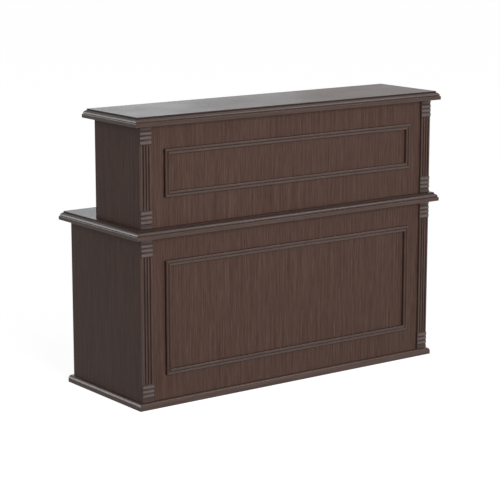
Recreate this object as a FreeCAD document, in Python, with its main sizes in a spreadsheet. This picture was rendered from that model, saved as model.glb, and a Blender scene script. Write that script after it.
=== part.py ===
import FreeCAD, Part
import math
import os
from collections import defaultdict
from types import SimpleNamespace

import Sketcher

# Two-tier reception desk. The visitor's side faces -Y, the staff side +Y, +Z is up.
# The origin lies on the floor, under the middle of the desk. All sizes are in millimetres.

SIZES = {
    # carcass
    "carcass_width": 1531.0,
    "lower_depth": 534.0,
    "upper_depth": 331.0,
    "worktop_height": 746.0,
    "counter_height": 1200.0,
    "side_thickness": 22.0,
    "front_thickness": 18.0,
    # worktop and counter top
    "board_thickness": 38.0,
    "board_overhang": 22.5,
    # moulded strip round each top
    "edge_reach": 15.0,
    "edge_drop": 6.0,
    "edge_swell": 2.0,
    "nose_height": 16.5,
    "quirk_height": 3.0,
    "quirk_depth": 4.5,
    "quirk_shoulder": 2.6,
    # plinth rails
    "plinth_height": 29.5,
    "plinth_reach": 19.0,
    "plinth_width": 80.0,
    "plinth_round": 14.5,
    "plinth_tail": 15.0,
    # pilasters
    "pilaster_width": 50.0,
    "pilaster_depth": 11.0,
    "flute_width": 6.6,
    "flute_pitch": 13.4,
    "flute_count": 3.0,
    # ribbed blocks at the pilaster ends
    "block_width": 53.0,
    "gap_height": 5.0,
    "gap_depth": 7.0,
    "flare_height": 15.0,
    "flare_depth": 14.0,
    "flare_sink": 1.0,
    "neck_depth": 9.0,
    "rib_height": 18.0,
    "rib_rise": 3.2,
    "roll_height": 20.0,
    "roll_rise": 3.8,
    # applied frames on the front panels
    "frame_end_margin": 66.5,
    "bead_width": 10.25,
    "bead_rise": 3.0,
    "bead_gap": 3.0,
    "frame_lip": 10.5,
    "lower_frame_foot_margin": 101.0,
    "lower_frame_head_margin": 100.0,
    "upper_frame_foot_margin": 120.5,
    "upper_frame_head_margin": 98.5,
    # staff side shelving
    "divider_thickness": 18.0,
    "shelf_thickness": 18.0,
    "shelf_lift": 210.0,
    "shelf_setback": 12.0,
    "shelf_play": 1.0,
    "pin_diameter": 5.0,
    "pin_length": 16.0,
    "pin_inset": 40.0,
    # joints between panels
    "fit_play": 0.1,
    "dowel_diameter": 8.0,
    "dowel_length": 32.0,
    "dowel_inset": 60.0,
    "front_dowel_spread": 1000.0,
    "cam_diameter": 15.0,
    "cam_depth": 14.0,
    "cam_inset": 34.0,
    "cam_end_inset": 90.0,
    "bolt_diameter": 7.0,
    "bolt_bite": 11.0,
    # angle brackets under the tops
    "bracket_leg": 40.0,
    "bracket_width": 20.0,
    "bracket_gauge": 2.5,
    "side_bracket_spread": 260.0,
    "front_bracket_spread": 700.0,
    "screw_diameter": 4.0,
    "screw_bite": 14.0,
    "screw_offset": 26.0,
    "screw_head_diameter": 8.0,
    "screw_head_height": 2.2,
    # levelling glides
    "glide_front_inset": 147.0,
    "glide_back_inset": 117.0,
    "pad_diameter": 28.0,
    "pad_height": 5.0,
    "pad_chamfer": 1.0,
    "pad_play": 0.6,
    "stem_diameter": 8.0,
    "stem_height": 17.0,
    "stem_play": 0.3,
    "insert_diameter": 12.0,
    "insert_length": 13.0,
    # cable outlets in the worktop
    "outlet_side_inset": 183.5,
    "outlet_setback": 140.0,
    "outlet_diameter": 60.0,
    "outlet_depth": 25.0,
    "outlet_wall": 3.0,
    "outlet_rim": 6.0,
    "outlet_rim_height": 2.5,
    "outlet_ledge": 3.5,
    "outlet_ledge_height": 2.5,
    "cap_height": 3.0,
    "cap_sink": 1.0,
    "cap_play": 0.4,
    "notch_width": 20.0,
    "notch_length": 15.0,
}

# Room past the end of each sawn or drilled cut, so that it runs out of the blank.
OVERRUN = 1.0

X = FreeCAD.Vector(1, 0, 0)
Y = FreeCAD.Vector(0, 1, 0)
Z = FreeCAD.Vector(0, 0, 1)

# The way from the middle to each end of the desk, along X.
HANDS = {"left": -1, "right": 1}


class Dim:
    """A length: its value, and the expression on the sheet that drives it."""

    def __init__(self, text, value):
        self.text = text
        self.value = value

    @staticmethod
    def of(item):
        return item if isinstance(item, Dim) else Dim(f"({float(item)})", float(item))

    def join(self, sign, other, value):
        return Dim(f"({self.text} {sign} {other.text})", value)

    def __add__(self, other):
        other = Dim.of(other)
        return self.join("+", other, self.value + other.value)

    def __sub__(self, other):
        other = Dim.of(other)
        return self.join("-", other, self.value - other.value)

    def __mul__(self, other):
        other = Dim.of(other)
        return self.join("*", other, self.value * other.value)

    def __truediv__(self, other):
        other = Dim.of(other)
        return self.join("/", other, self.value / other.value)

    def __radd__(self, other):
        return Dim.of(other) + self

    def __rsub__(self, other):
        return Dim.of(other) - self

    def __rmul__(self, other):
        return Dim.of(other) * self

    def __neg__(self):
        return Dim.of(-1) * self


doc = FreeCAD.newDocument("ReceptionDesk")
sheet = doc.addObject("Spreadsheet::Sheet", "Sizes")
for row, (alias, number) in enumerate(SIZES.items(), start=1):
    sheet.set(f"A{row}", str(number))
    sheet.setAlias(f"A{row}", alias)
doc.recompute()
d = SimpleNamespace(**{alias: Dim(f"Sizes.{alias}", number) for alias, number in SIZES.items()})

# Planes and edges that several pieces share
half_width = d.carcass_width / 2
side_inner = half_width - d.side_thickness
front = -d.lower_depth / 2
front_inner = front + d.front_thickness
lower_back = d.lower_depth / 2
upper_back = front + d.upper_depth
shelf_back = upper_back - d.shelf_setback
worktop_under = d.worktop_height - d.board_thickness
counter_under = d.counter_height - d.board_thickness
shelf_under = d.worktop_height + d.shelf_lift
front_middle = front + d.front_thickness / 2
side_middle = half_width - d.side_thickness / 2
divider_face = d.divider_thickness / 2
core_half_width = half_width + d.board_overhang
core_front = front - d.board_overhang
plinth_half_width = half_width + d.plinth_reach
plinth_front = front - d.plinth_reach

pieces = []
holes = defaultdict(list)


# Shared makers

def bind(item, **properties):
    """Drive properties of an object from the sheet."""
    for name, dim in properties.items():
        item.setExpression(name, Dim.of(dim).text)
    return item


def place(item, at, rotation=FreeCAD.Rotation()):
    """Put an object's own origin at a point, turned by a rotation."""
    at = [Dim.of(part) for part in at]
    item.Placement = FreeCAD.Placement(FreeCAD.Vector(*(part.value for part in at)), rotation)
    for axis, part in zip("xyz", at):
        item.setExpression(f"Placement.Base.{axis}", part.text)
    return item


def slab(name, size, at, rotation=FreeCAD.Rotation()):
    """A square-edged board with one corner at a point."""
    length, width, height = size
    item = doc.addObject("Part::Box", name)
    bind(item, Length=length, Width=width, Height=height)
    return place(item, at, rotation)


def span(name, low, high):
    """A square-edged board between two opposite corners."""
    return slab(name, [top - bottom for bottom, top in zip(low, high)], low)


def rod(name, diameter, length, at, along=Z):
    """A round bar that starts at a point and runs along a direction."""
    item = doc.addObject("Part::Cylinder", name)
    bind(item, Radius=diameter / 2, Height=length)
    return place(item, at, FreeCAD.Rotation(Z, along))


def group(name, items):
    """Several solids kept as one object, still separate."""
    item = doc.addObject("Part::Compound", name)
    item.Links = items
    return item


def fused(name, items):
    """Several solids joined into one."""
    item = doc.addObject("Part::MultiFuse", name)
    item.Shapes = items
    return item


def cut(name, blank, tools):
    """A blank with tools taken out of it."""
    item = doc.addObject("Part::Cut", name)
    item.Base = blank
    item.Tool = group(f"{name}_tools", tools)
    return item


def finish(label, item):
    """Name a finished piece and put it on the list of pieces."""
    item.Label = label
    pieces.append(item)
    return item


def drilled(label, blank):
    """A finished piece: its blank with every hole that a fitting asks of it."""
    return finish(label, cut(f"{label}_drilled", blank, holes[label]))


def new_body(name):
    return doc.addObject("PartDesign::Body", name)


def origin_plane(body, role):
    return next(item for item in body.Origin.OriginFeatures if item.Role == role)


def sketch_on(body, role, name):
    """An empty sketch on one of the body's own origin planes."""
    sketch = body.newObject("Sketcher::SketchObject", name)
    sketch.AttachmentSupport = [(origin_plane(body, role), "")]
    sketch.MapMode = "FlatFace"
    return sketch


def constrain(sketch, kind, references, dim):
    """Add one driven dimension to a sketch."""
    index = sketch.addConstraint(Sketcher.Constraint(kind, *references, dim.value))
    sketch.setExpression(f"Constraints[{index}]", dim.text)


def bulge_radius(start, end, rise):
    """Radius of the arc between two points whose middle stands a given rise off the chord."""
    across = end[0] - start[0]
    along = end[1] - start[1]
    return ((across * across + along * along) / 4 + rise * rise) / (2 * rise)


def arc_edge(start, end, radius, turn):
    """The arc between two points; turn is +1 counter-clockwise and -1 clockwise."""
    chord = end - start
    height = math.sqrt(radius ** 2 - (chord.Length / 2) ** 2)
    side = FreeCAD.Vector(-chord.y, chord.x, 0).normalize() * turn
    centre = (start + end) * 0.5 + side * height
    first, last = (start, end) if turn > 0 else (end, start)
    angles = [math.atan2(point.y - centre.y, point.x - centre.x) for point in (first, last)]
    return Part.ArcOfCircle(Part.Circle(centre, Z, radius), *angles)


def outline(sketch, points, arcs=None):
    """Draw a closed outline through points; arcs maps an edge's number to its radius and turn."""
    arcs = arcs or {}
    points = [[Dim.of(part) for part in point] for point in points]
    corners = [FreeCAD.Vector(point[0].value, point[1].value, 0) for point in points]
    edges = []
    for number, corner in enumerate(corners):
        following = corners[(number + 1) % len(corners)]
        if number in arcs:
            radius, turn = arcs[number]
            geometry = sketch.addGeometry(arc_edge(corner, following, radius.value, turn))
            constrain(sketch, "Radius", (geometry,), radius)
            edges.append((geometry, (1, 2) if turn > 0 else (2, 1)))
        else:
            edges.append((sketch.addGeometry(Part.LineSegment(corner, following)), (1, 2)))
    for number, (geometry, (start, end)) in enumerate(edges):
        following, (following_start, _) = edges[(number + 1) % len(edges)]
        sketch.addConstraint(
            Sketcher.Constraint("Coincident", geometry, end, following, following_start))
        constrain(sketch, "DistanceX", (-1, 1, geometry, start), points[number][0])
        constrain(sketch, "DistanceY", (-1, 1, geometry, start), points[number][1])


def pad(body, sketch, length):
    """Extrude a sketch along its plane's normal."""
    item = body.newObject("PartDesign::Pad", f"{sketch.Name}_pad")
    item.Profile = sketch
    return bind(item, Length=length)


def pocket_through(body, sketch):
    """Cut a sketch through the solid that stands on its plane."""
    item = body.newObject("PartDesign::Pocket", f"{sketch.Name}_cut")
    item.Profile = sketch
    item.Type = "ThroughAll"
    item.Reversed = True
    return item


def revolved(body, sketch):
    """Turn a sketch once round its own vertical axis."""
    item = body.newObject("PartDesign::Revolution", f"{sketch.Name}_turned")
    item.Profile = sketch
    item.ReferenceAxis = (sketch, ["V_Axis"])
    item.Angle = 360.0
    return item


def mitred_strip(name, section, arcs, depth, length, saw_cuts, at, rotation):
    """A moulded strip along its own X, with ends sawn at 45 degrees.

    The section is drawn in (Y, Z), with Y from 0 to depth. saw_cuts holds, for the
    start and the end, which edge stays long: "outer" (Y = depth), "inner" (Y = 0) or None.
    """
    body = new_body(name)
    profile = sketch_on(body, "YZ_Plane", f"{name}_section")
    outline(profile, section, arcs)
    pad(body, profile, length)
    saw = sketch_on(body, "XY_Plane", f"{name}_saw")
    past = depth + OVERRUN
    for long_edge, end_x, inward in zip(saw_cuts, (0, length), (1, -1)):
        off_end = end_x - inward * OVERRUN
        far_in = end_x + inward * past
        if long_edge == "outer":
            outline(saw, [(off_end, -OVERRUN), (far_in, -OVERRUN), (off_end, past)])
        elif long_edge == "inner":
            outline(saw, [(off_end, -OVERRUN), (off_end, past), (far_in, past)])
    pocket_through(body, saw)
    return place(body, at, rotation)


# Fittings, each of which also asks for its holes

dowels = []
cams = []
bolts = []
brackets = []
screws = []
pins = []
inserts = []


def dowel(below, above, x, y, z):
    """A dowel that stands across the joint at height z between two pieces."""
    dowels.append(rod("dowel", d.dowel_diameter, d.dowel_length, (x, y, z - d.dowel_length / 2)))
    depth = d.dowel_length + 2 * OVERRUN
    hole = rod("dowel_hole", d.dowel_diameter + 2 * d.fit_play, depth, (x, y, z - depth / 2))
    holes[below].append(hole)
    holes[above].append(hole)


def cam_fitting(panel, side, hand, z):
    """A cam in a front panel's back that draws a bolt in a side panel; hand is -1 left, +1 right."""
    x = hand * (side_inner - d.cam_inset)
    reach = d.cam_inset + d.bolt_bite
    bolt_start = (x, front_middle, z)
    bore = rod("bolt_hole", d.bolt_diameter + 2 * d.fit_play, reach + 2 * OVERRUN,
               (x - hand * OVERRUN, front_middle, z), X * hand)
    seat = rod("cam_hole", d.cam_diameter + 2 * d.fit_play, d.cam_depth + OVERRUN,
               (x, front_inner - d.cam_depth, z), Y)
    blank = rod("cam_blank", d.cam_diameter, d.cam_depth, (x, front_inner - d.cam_depth, z), Y)
    cams.append(cut("cam", blank, [bore]))
    bolts.append(rod("bolt", d.bolt_diameter, reach, bolt_start, X * hand))
    holes[panel].extend([bore, seat])
    holes[side].append(bore)


def screw(holder, surface, into):
    """A round-headed screw through a bracket's leg into the piece behind it."""
    shank_length = d.bracket_gauge + d.screw_bite
    away = [-part for part in into]
    seat = [at + step * d.bracket_gauge for at, step in zip(surface, away)]
    head = rod("screw_head", d.screw_head_diameter, d.screw_head_height, seat, FreeCAD.Vector(*away))
    shank = rod("screw_shank", d.screw_diameter, shank_length, seat, FreeCAD.Vector(*into))
    screws.append(fused("screw", [head, shank]))
    hole = rod("screw_hole", d.screw_diameter + 2 * d.fit_play, shank_length + OVERRUN, seat,
               FreeCAD.Vector(*into))
    holes[holder].append(hole)
    return hole


def bracket(panel, top, corner, facing):
    """An angle bracket in the corner under a top; facing is its direction away from the panel."""
    x, y, z = corner
    fx, fy = facing
    turn = FreeCAD.Rotation(Z, math.degrees(math.atan2(fy, fx)))
    start_x = x + fy * d.bracket_width / 2
    start_y = y - fx * d.bracket_width / 2
    upright = slab("bracket_upright", (d.bracket_gauge, d.bracket_width, d.bracket_leg),
                   (start_x, start_y, z - d.bracket_leg), turn)
    flat = slab("bracket_flat", (d.bracket_leg, d.bracket_width, d.bracket_gauge),
                (start_x, start_y, z - d.bracket_gauge), turn)
    upward = screw(top, (x + fx * d.screw_offset, y + fy * d.screw_offset, z), (0, 0, 1))
    sideways = screw(panel, (x, y, z - d.screw_offset), (-fx, -fy, 0))
    brackets.append(cut("bracket", fused("bracket_angle", [upright, flat]), [upward, sideways]))


def shelf_pin(panel, face_x, hand, y):
    """A pin half in an upright and half under a shelf; hand points from the upright to the shelf."""
    half = d.pin_length / 2
    z = shelf_under - d.pin_diameter / 2
    pins.append(rod("pin", d.pin_diameter, d.pin_length, (face_x - hand * half, y, z), X * hand))
    holes[panel].append(rod("pin_hole", d.pin_diameter + 2 * d.fit_play, half + OVERRUN,
                            (face_x - hand * (half + OVERRUN), y, z), X * hand))


def levelling_glide(label, rail, hand, y):
    """A screw-in foot that sits in a plinth rail, with the threaded insert that carries it."""
    x = hand * (plinth_half_width - d.plinth_width / 2)
    recess = d.pad_height
    insert_top = recess + d.insert_length
    bore = d.stem_diameter + 2 * d.stem_play
    stem_hole = rod("stem_hole", bore, d.pad_height + d.stem_height + OVERRUN, (x, y, 0))
    sleeve = rod("insert_blank", d.insert_diameter, d.insert_length, (x, y, recess))
    inserts.append(cut("insert", sleeve, [stem_hole]))
    holes[rail] += [
        rod("pad_hole", d.pad_diameter + 2 * d.pad_play, recess + OVERRUN, (x, y, -OVERRUN)),
        rod("insert_hole", d.insert_diameter + 2 * d.fit_play, insert_top, (x, y, 0)),
        stem_hole,
    ]
    body = new_body(label)
    section = sketch_on(body, "XZ_Plane", f"{label}_section")
    pad_radius = d.pad_diameter / 2
    stem_radius = d.stem_diameter / 2
    stem_top = d.pad_height + d.stem_height
    outline(section, [
        (0, 0), (pad_radius - d.pad_chamfer, 0), (pad_radius, d.pad_chamfer),
        (pad_radius, d.pad_height), (stem_radius, d.pad_height), (stem_radius, stem_top),
        (0, stem_top),
    ])
    revolved(body, section)
    finish(label, place(body, (x, y, 0)))


def cable_outlet(side_name, hand):
    """A ring in the worktop and the swivelling cap that it carries."""
    x = hand * (side_inner - d.outlet_side_inset)
    y = lower_back - d.outlet_setback
    top = d.worktop_height
    sleeve = d.outlet_diameter / 2 - d.fit_play
    bore = d.outlet_diameter / 2 - d.outlet_wall
    ledge = bore - d.outlet_ledge
    ledge_under = -d.cap_sink - d.outlet_ledge_height
    holes["worktop_core"].append(
        rod("outlet_hole", d.outlet_diameter, d.board_thickness + 2 * OVERRUN,
            (x, y, worktop_under - OVERRUN)))
    ring = new_body(f"outlet_ring_{side_name}")
    section = sketch_on(ring, "XZ_Plane", f"outlet_ring_{side_name}_section")
    rim = d.outlet_diameter / 2 + d.outlet_rim
    outline(section, [
        (bore, -d.outlet_depth), (sleeve, -d.outlet_depth), (sleeve, 0), (rim, 0),
        (rim, d.outlet_rim_height), (bore, d.outlet_rim_height), (bore, -d.cap_sink),
        (ledge, -d.cap_sink), (ledge, ledge_under), (bore, ledge_under),
    ])
    revolved(ring, section)
    finish(ring.Name, place(ring, (x, y, top)))

    cap = new_body(f"outlet_cap_{side_name}")
    disc = sketch_on(cap, "XY_Plane", f"outlet_cap_{side_name}_disc")
    radius = bore - d.cap_play
    circle = disc.addGeometry(Part.Circle(FreeCAD.Vector(), Z, radius.value))
    disc.addConstraint(Sketcher.Constraint("Coincident", circle, 3, -1, 1))
    constrain(disc, "Radius", (circle,), radius)
    pad(cap, disc, d.cap_height)
    notch = sketch_on(cap, "XY_Plane", f"outlet_cap_{side_name}_notch")
    left, right = -d.notch_width / 2, d.notch_width / 2
    inner, outer = radius - d.notch_length, radius + OVERRUN
    outline(notch, [(left, inner), (right, inner), (right, outer), (left, outer)])
    pocket_through(cap, notch)
    finish(cap.Name, place(cap, (x, y, top - d.cap_sink)))


# Worktop, counter top and their moulded edges

edge_top = d.board_thickness - d.edge_drop
quirk_floor = d.edge_reach - d.quirk_depth
quirk_top = d.nose_height + d.quirk_height
swell_start = (d.edge_reach - d.quirk_shoulder, quirk_top)
swell_end = (0, edge_top)
EDGE_SECTION = [
    (0, 0), (d.edge_reach, 0), (d.edge_reach, d.nose_height), (quirk_floor, d.nose_height),
    (quirk_floor, quirk_top), swell_start, swell_end,
]
EDGE_ARCS = {5: (bulge_radius(swell_start, swell_end, d.edge_swell), 1)}


def board_edges(top, back, under):
    """The four mitred strips round a top, each planted on one of the core's faces."""
    reach = d.edge_reach
    across = 2 * (core_half_width + reach)
    deep = back - core_front + 2 * reach
    runs = {
        "back": (across, (-core_half_width - reach, back, under), 0),
        "left": (deep, (-core_half_width, core_front - reach, under), 90),
        "front": (across, (core_half_width + reach, core_front, under), 180),
        "right": (deep, (core_half_width, back + reach, under), 270),
    }
    for side, (length, at, angle) in runs.items():
        label = f"{top}_edge_{side}"
        finish(label, mitred_strip(label, EDGE_SECTION, EDGE_ARCS, reach, length,
                                   ("outer", "outer"), at, FreeCAD.Rotation(Z, angle)))


# Plinth rails

plinth_nose = d.plinth_height - d.plinth_round
PLINTH_SECTION = [
    (0, 0), (d.plinth_width, 0), (d.plinth_width, plinth_nose),
    (d.plinth_width - d.plinth_round, d.plinth_height), (0, d.plinth_height),
]
PLINTH_ARCS = {2: (d.plinth_round, 1)}


def plinth_rails():
    """Front and side rails, mitred together at the front corners."""
    depth = d.lower_depth + d.plinth_reach + d.plinth_tail
    inner_x = plinth_half_width - d.plinth_width
    runs = {
        "front": (2 * plinth_half_width, (plinth_half_width, plinth_front + d.plinth_width, 0),
                  180, ("outer", "outer")),
        "left": (depth, (-inner_x, plinth_front, 0), 90, ("outer", None)),
        "right": (depth, (inner_x, lower_back + d.plinth_tail, 0), 270, (None, "outer")),
    }
    for side, (length, at, angle, saw_cuts) in runs.items():
        label = f"plinth_{side}"
        drilled(label, mitred_strip(f"{label}_blank", PLINTH_SECTION, PLINTH_ARCS, d.plinth_width,
                                    length, saw_cuts, at, FreeCAD.Rotation(Z, angle)))


# Pilasters

flare_top = d.gap_height + d.flare_height
first_rib_top = flare_top + d.rib_height
second_rib_top = first_rib_top + d.rib_height
block_height = second_rib_top + d.roll_height
BLOCK_SECTION = [
    (0, 0), (-d.gap_depth, 0), (-d.gap_depth, d.gap_height), (-d.flare_depth, d.gap_height),
    (-d.neck_depth, flare_top), (-d.neck_depth, first_rib_top), (-d.neck_depth, second_rib_top),
    (-d.neck_depth, block_height), (0, block_height),
]
BLOCK_ARCS = {
    3: (bulge_radius(BLOCK_SECTION[3], BLOCK_SECTION[4], d.flare_sink), 1),
    4: (bulge_radius(BLOCK_SECTION[4], BLOCK_SECTION[5], d.rib_rise), -1),
    5: (bulge_radius(BLOCK_SECTION[5], BLOCK_SECTION[6], d.rib_rise), -1),
    6: (bulge_radius(BLOCK_SECTION[6], BLOCK_SECTION[7], d.roll_rise), -1),
}


def ribbed_block(label, centre_x, end_z, up):
    """A block of ribs at a pilaster's end; up is +1 on a base and -1 on a capital."""
    body = new_body(label)
    section = sketch_on(body, "YZ_Plane", f"{label}_section")
    outline(section, BLOCK_SECTION, BLOCK_ARCS)
    pad(body, section, d.block_width)
    turn = FreeCAD.Rotation(Y, 0 if up > 0 else 180)
    finish(label, place(body, (centre_x - up * d.block_width / 2, front, end_z), turn))


def fluted_shaft(label, centre_x, low, high):
    """The strip between a pilaster's two blocks, with round flutes down its front."""
    body = new_body(label)
    plan = sketch_on(body, "XY_Plane", f"{label}_plan")
    half = d.pilaster_width / 2
    outline(plan, [(-half, -d.pilaster_depth), (half, -d.pilaster_depth), (half, 0), (-half, 0)])
    pad(body, plan, high - low)
    flute = sketch_on(body, "XY_Plane", f"{label}_flute")
    spread = (d.flute_count - 1) * d.flute_pitch
    flute_radius = d.flute_width / 2
    start = FreeCAD.Vector(-spread.value / 2, -d.pilaster_depth.value, 0)
    circle = flute.addGeometry(Part.Circle(start, Z, flute_radius.value))
    constrain(flute, "Radius", (circle,), flute_radius)
    constrain(flute, "DistanceX", (-1, 1, circle, 3), -spread / 2)
    constrain(flute, "DistanceY", (-1, 1, circle, 3), -d.pilaster_depth)
    groove = pocket_through(body, flute)
    doc.recompute()
    row = body.newObject("PartDesign::LinearPattern", f"{label}_flutes")
    row.Originals = [groove]
    row.Direction = (flute, ["H_Axis"])
    bind(row, Length=spread, Occurrences=d.flute_count)
    body.Tip = row
    finish(label, place(body, (centre_x, front, low)))


def pilaster(tier, side, hand, low, high):
    """A fluted shaft between a base and a capital, planted on the front."""
    name = f"{tier}_{side}_pilaster"
    centre_x = hand * (half_width - d.pilaster_width / 2)
    ribbed_block(f"{name}_base", centre_x, low, 1)
    ribbed_block(f"{name}_capital", centre_x, high, -1)
    fluted_shaft(f"{name}_shaft", centre_x, low + block_height, high - block_height)


# Applied frames

frame_width = 2 * d.bead_width + d.bead_gap
second_bead = d.bead_width + d.bead_gap
bead_radius = bulge_radius((0, 0), (d.bead_width, 0), d.bead_rise)
FRAME_SECTION = [
    (0, 0), (frame_width, 0), (frame_width, d.frame_lip), (second_bead, d.frame_lip),
    (d.bead_width, d.frame_lip), (0, d.frame_lip),
]
FRAME_ARCS = {2: (bead_radius, 1), 4: (bead_radius, 1)}


def applied_frame(tier, low, high):
    """Four mitred double-bead strips planted on a front panel, between its pilasters."""
    right = half_width - d.pilaster_width - d.frame_end_margin
    left = -right
    runs = {
        "bottom": (right - left, (left, front, low), 0),
        "left": (high - low, (left, front, high), 90),
        "top": (right - left, (right, front, high), 180),
        "right": (high - low, (right, front, low), 270),
    }
    for side, (length, at, angle) in runs.items():
        label = f"{tier}_frame_{side}"
        turn = FreeCAD.Rotation(Y, angle).multiply(FreeCAD.Rotation(X, 90))
        finish(label, mitred_strip(label, FRAME_SECTION, FRAME_ARCS, frame_width, length,
                                   ("inner", "inner"), at, turn))


# Panels

def tier_panels(tier, low, high, back):
    """Two side panels with the front panel between them."""
    for side, hand in HANDS.items():
        faces = sorted((hand * side_inner, hand * half_width), key=lambda face: face.value)
        label = f"{tier}_side_{side}"
        drilled(label, span(f"{label}_blank", (faces[0], front, low), (faces[1], back, high)))
    label = f"{tier}_front"
    drilled(label, span(f"{label}_blank", (-side_inner, front, low), (side_inner, front_inner, high)))


def staff_shelving():
    """An upright in the middle of the upper tier and a shelf on each side of it."""
    drilled("divider", span("divider_blank", (-divider_face, front_inner, d.worktop_height),
                            (divider_face, shelf_back, counter_under)))
    for side, hand in HANDS.items():
        ends = (hand * (divider_face + d.shelf_play), hand * (side_inner - d.shelf_play))
        left, right = sorted(ends, key=lambda end: end.value)
        finish(f"shelf_{side}", span(f"shelf_{side}", (left, front_inner, shelf_under),
                                     (right, shelf_back, shelf_under + d.shelf_thickness)))


def top_core(label, back, under):
    """The flat board of a top, inside its moulded edges."""
    drilled(label, span(f"{label}_blank", (-core_half_width, core_front, under),
                        (core_half_width, back, under + d.board_thickness)))


# Where the fittings go

core_lower_back = lower_back + d.board_overhang
core_upper_back = upper_back + d.board_overhang
front_dowel_x = (-d.front_dowel_spread / 2, 0, d.front_dowel_spread / 2)
lower_dowel_y = (front + d.dowel_inset, 0, lower_back - d.dowel_inset)
upper_dowel_y = (front + d.dowel_inset, upper_back - d.dowel_inset)
divider_dowel_y = (front_inner + d.dowel_inset, shelf_back - d.dowel_inset)
front_bracket_x = (-d.front_bracket_spread / 2, d.front_bracket_spread / 2)
upper_middle = (front + upper_back) / 2

for side, hand in HANDS.items():
    for y in lower_dowel_y:
        dowel(f"plinth_{side}", f"lower_side_{side}", hand * side_middle, y, d.plinth_height)
        dowel(f"lower_side_{side}", "worktop_core", hand * side_middle, y, worktop_under)
    for y in upper_dowel_y:
        dowel("worktop_core", f"upper_side_{side}", hand * side_middle, y, d.worktop_height)
        dowel(f"upper_side_{side}", "counter_core", hand * side_middle, y, counter_under)
    for z in (d.plinth_height + d.cam_end_inset, worktop_under - d.cam_end_inset):
        cam_fitting("lower_front", f"lower_side_{side}", hand, z)
    for z in (d.worktop_height + d.cam_end_inset, counter_under - d.cam_end_inset):
        cam_fitting("upper_front", f"upper_side_{side}", hand, z)
    for y in (-d.side_bracket_spread / 2, d.side_bracket_spread / 2):
        bracket(f"lower_side_{side}", "worktop_core", (hand * side_inner, y, worktop_under), (-hand, 0))
    bracket(f"upper_side_{side}", "counter_core",
            (hand * side_inner, upper_middle, counter_under), (-hand, 0))
    for y in (front_inner + d.pin_inset, shelf_back - d.pin_inset):
        shelf_pin(f"upper_side_{side}", hand * side_inner, -hand, y)
        shelf_pin("divider", hand * divider_face, hand, y)
    levelling_glide(f"glide_{side}_front", f"plinth_{side}", hand, front + d.glide_front_inset)
    levelling_glide(f"glide_{side}_back", f"plinth_{side}", hand, lower_back - d.glide_back_inset)
    cable_outlet(side, hand)
for x in front_dowel_x:
    dowel("plinth_front", "lower_front", x, front_middle, d.plinth_height)
    dowel("lower_front", "worktop_core", x, front_middle, worktop_under)
    dowel("worktop_core", "upper_front", x, front_middle, d.worktop_height)
    dowel("upper_front", "counter_core", x, front_middle, counter_under)
for y in divider_dowel_y:
    dowel("worktop_core", "divider", 0, y, d.worktop_height)
    dowel("divider", "counter_core", 0, y, counter_under)
for x in front_bracket_x:
    bracket("lower_front", "worktop_core", (x, front_inner, worktop_under), (0, 1))
    bracket("upper_front", "counter_core", (x, front_inner, counter_under), (0, 1))

# The pieces

plinth_rails()
tier_panels("lower", d.plinth_height, worktop_under, lower_back)
tier_panels("upper", d.worktop_height, counter_under, upper_back)
staff_shelving()
top_core("worktop_core", core_lower_back, worktop_under)
top_core("counter_core", core_upper_back, counter_under)
board_edges("worktop", core_lower_back, worktop_under)
board_edges("counter", core_upper_back, counter_under)
applied_frame("lower", d.plinth_height + d.lower_frame_foot_margin,
              worktop_under - d.lower_frame_head_margin)
applied_frame("upper", d.worktop_height + d.upper_frame_foot_margin,
              counter_under - d.upper_frame_head_margin)
for side, hand in HANDS.items():
    pilaster("lower", side, hand, d.plinth_height, worktop_under)
    pilaster("upper", side, hand, d.worktop_height, counter_under)
hardware = {
    "dowels": dowels, "cams": cams, "cam_bolts": bolts, "angle_brackets": brackets,
    "bracket_screws": screws, "shelf_pins": pins, "glide_inserts": inserts,
}
for label, items in hardware.items():
    finish(label, group(label, items))

doc.recompute()
for item in doc.Objects:
    if "Invalid" in item.State or "Error" in item.State:
        raise RuntimeError(f"{item.Label} failed: {item.State}")
for item in pieces:
    if item.Shape.isNull() or not item.Shape.isValid() or not item.Shape.Solids:
        raise RuntimeError(f"{item.Label} has no valid solid")

os.makedirs("parts", exist_ok=True)
for item in pieces:
    item.Shape.exportStep(f"parts/{item.Label}.step")
    box = item.Shape.BoundBox
    print(f"{item.Label}: {len(item.Shape.Solids)} solids, {item.Shape.Volume / 1000:.1f} cm3, "
          f"z {box.ZMin:.1f} to {box.ZMax:.1f}")
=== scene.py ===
import itertools
import logging
import math
from collections.abc import Callable
from dataclasses import dataclass, field, replace
from enum import Enum

import bmesh
import bpy
from bmesh.types import BMesh
from bpy.types import Material, Mesh, Node, NodeSocket, NodeTree, Object
from mathutils import Euler, Matrix, Vector


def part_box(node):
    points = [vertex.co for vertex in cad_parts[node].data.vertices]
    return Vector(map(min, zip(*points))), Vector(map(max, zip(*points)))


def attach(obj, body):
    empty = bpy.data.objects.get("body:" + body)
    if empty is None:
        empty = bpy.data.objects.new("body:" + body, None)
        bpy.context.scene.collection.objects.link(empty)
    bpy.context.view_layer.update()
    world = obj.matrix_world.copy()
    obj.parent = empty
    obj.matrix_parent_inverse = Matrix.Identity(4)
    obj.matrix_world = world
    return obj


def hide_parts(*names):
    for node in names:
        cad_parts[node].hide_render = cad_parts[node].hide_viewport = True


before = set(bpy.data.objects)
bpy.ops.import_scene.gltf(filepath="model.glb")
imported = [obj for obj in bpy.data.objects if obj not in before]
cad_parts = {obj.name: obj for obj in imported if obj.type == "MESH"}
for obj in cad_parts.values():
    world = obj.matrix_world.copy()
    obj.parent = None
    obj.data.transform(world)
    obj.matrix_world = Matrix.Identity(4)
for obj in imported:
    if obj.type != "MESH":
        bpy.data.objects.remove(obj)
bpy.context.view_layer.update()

MM = 0.001
TINY = 1e-6
ROOT_BODY = "desk"
SHARP_ANGLE = math.radians(27)
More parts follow.
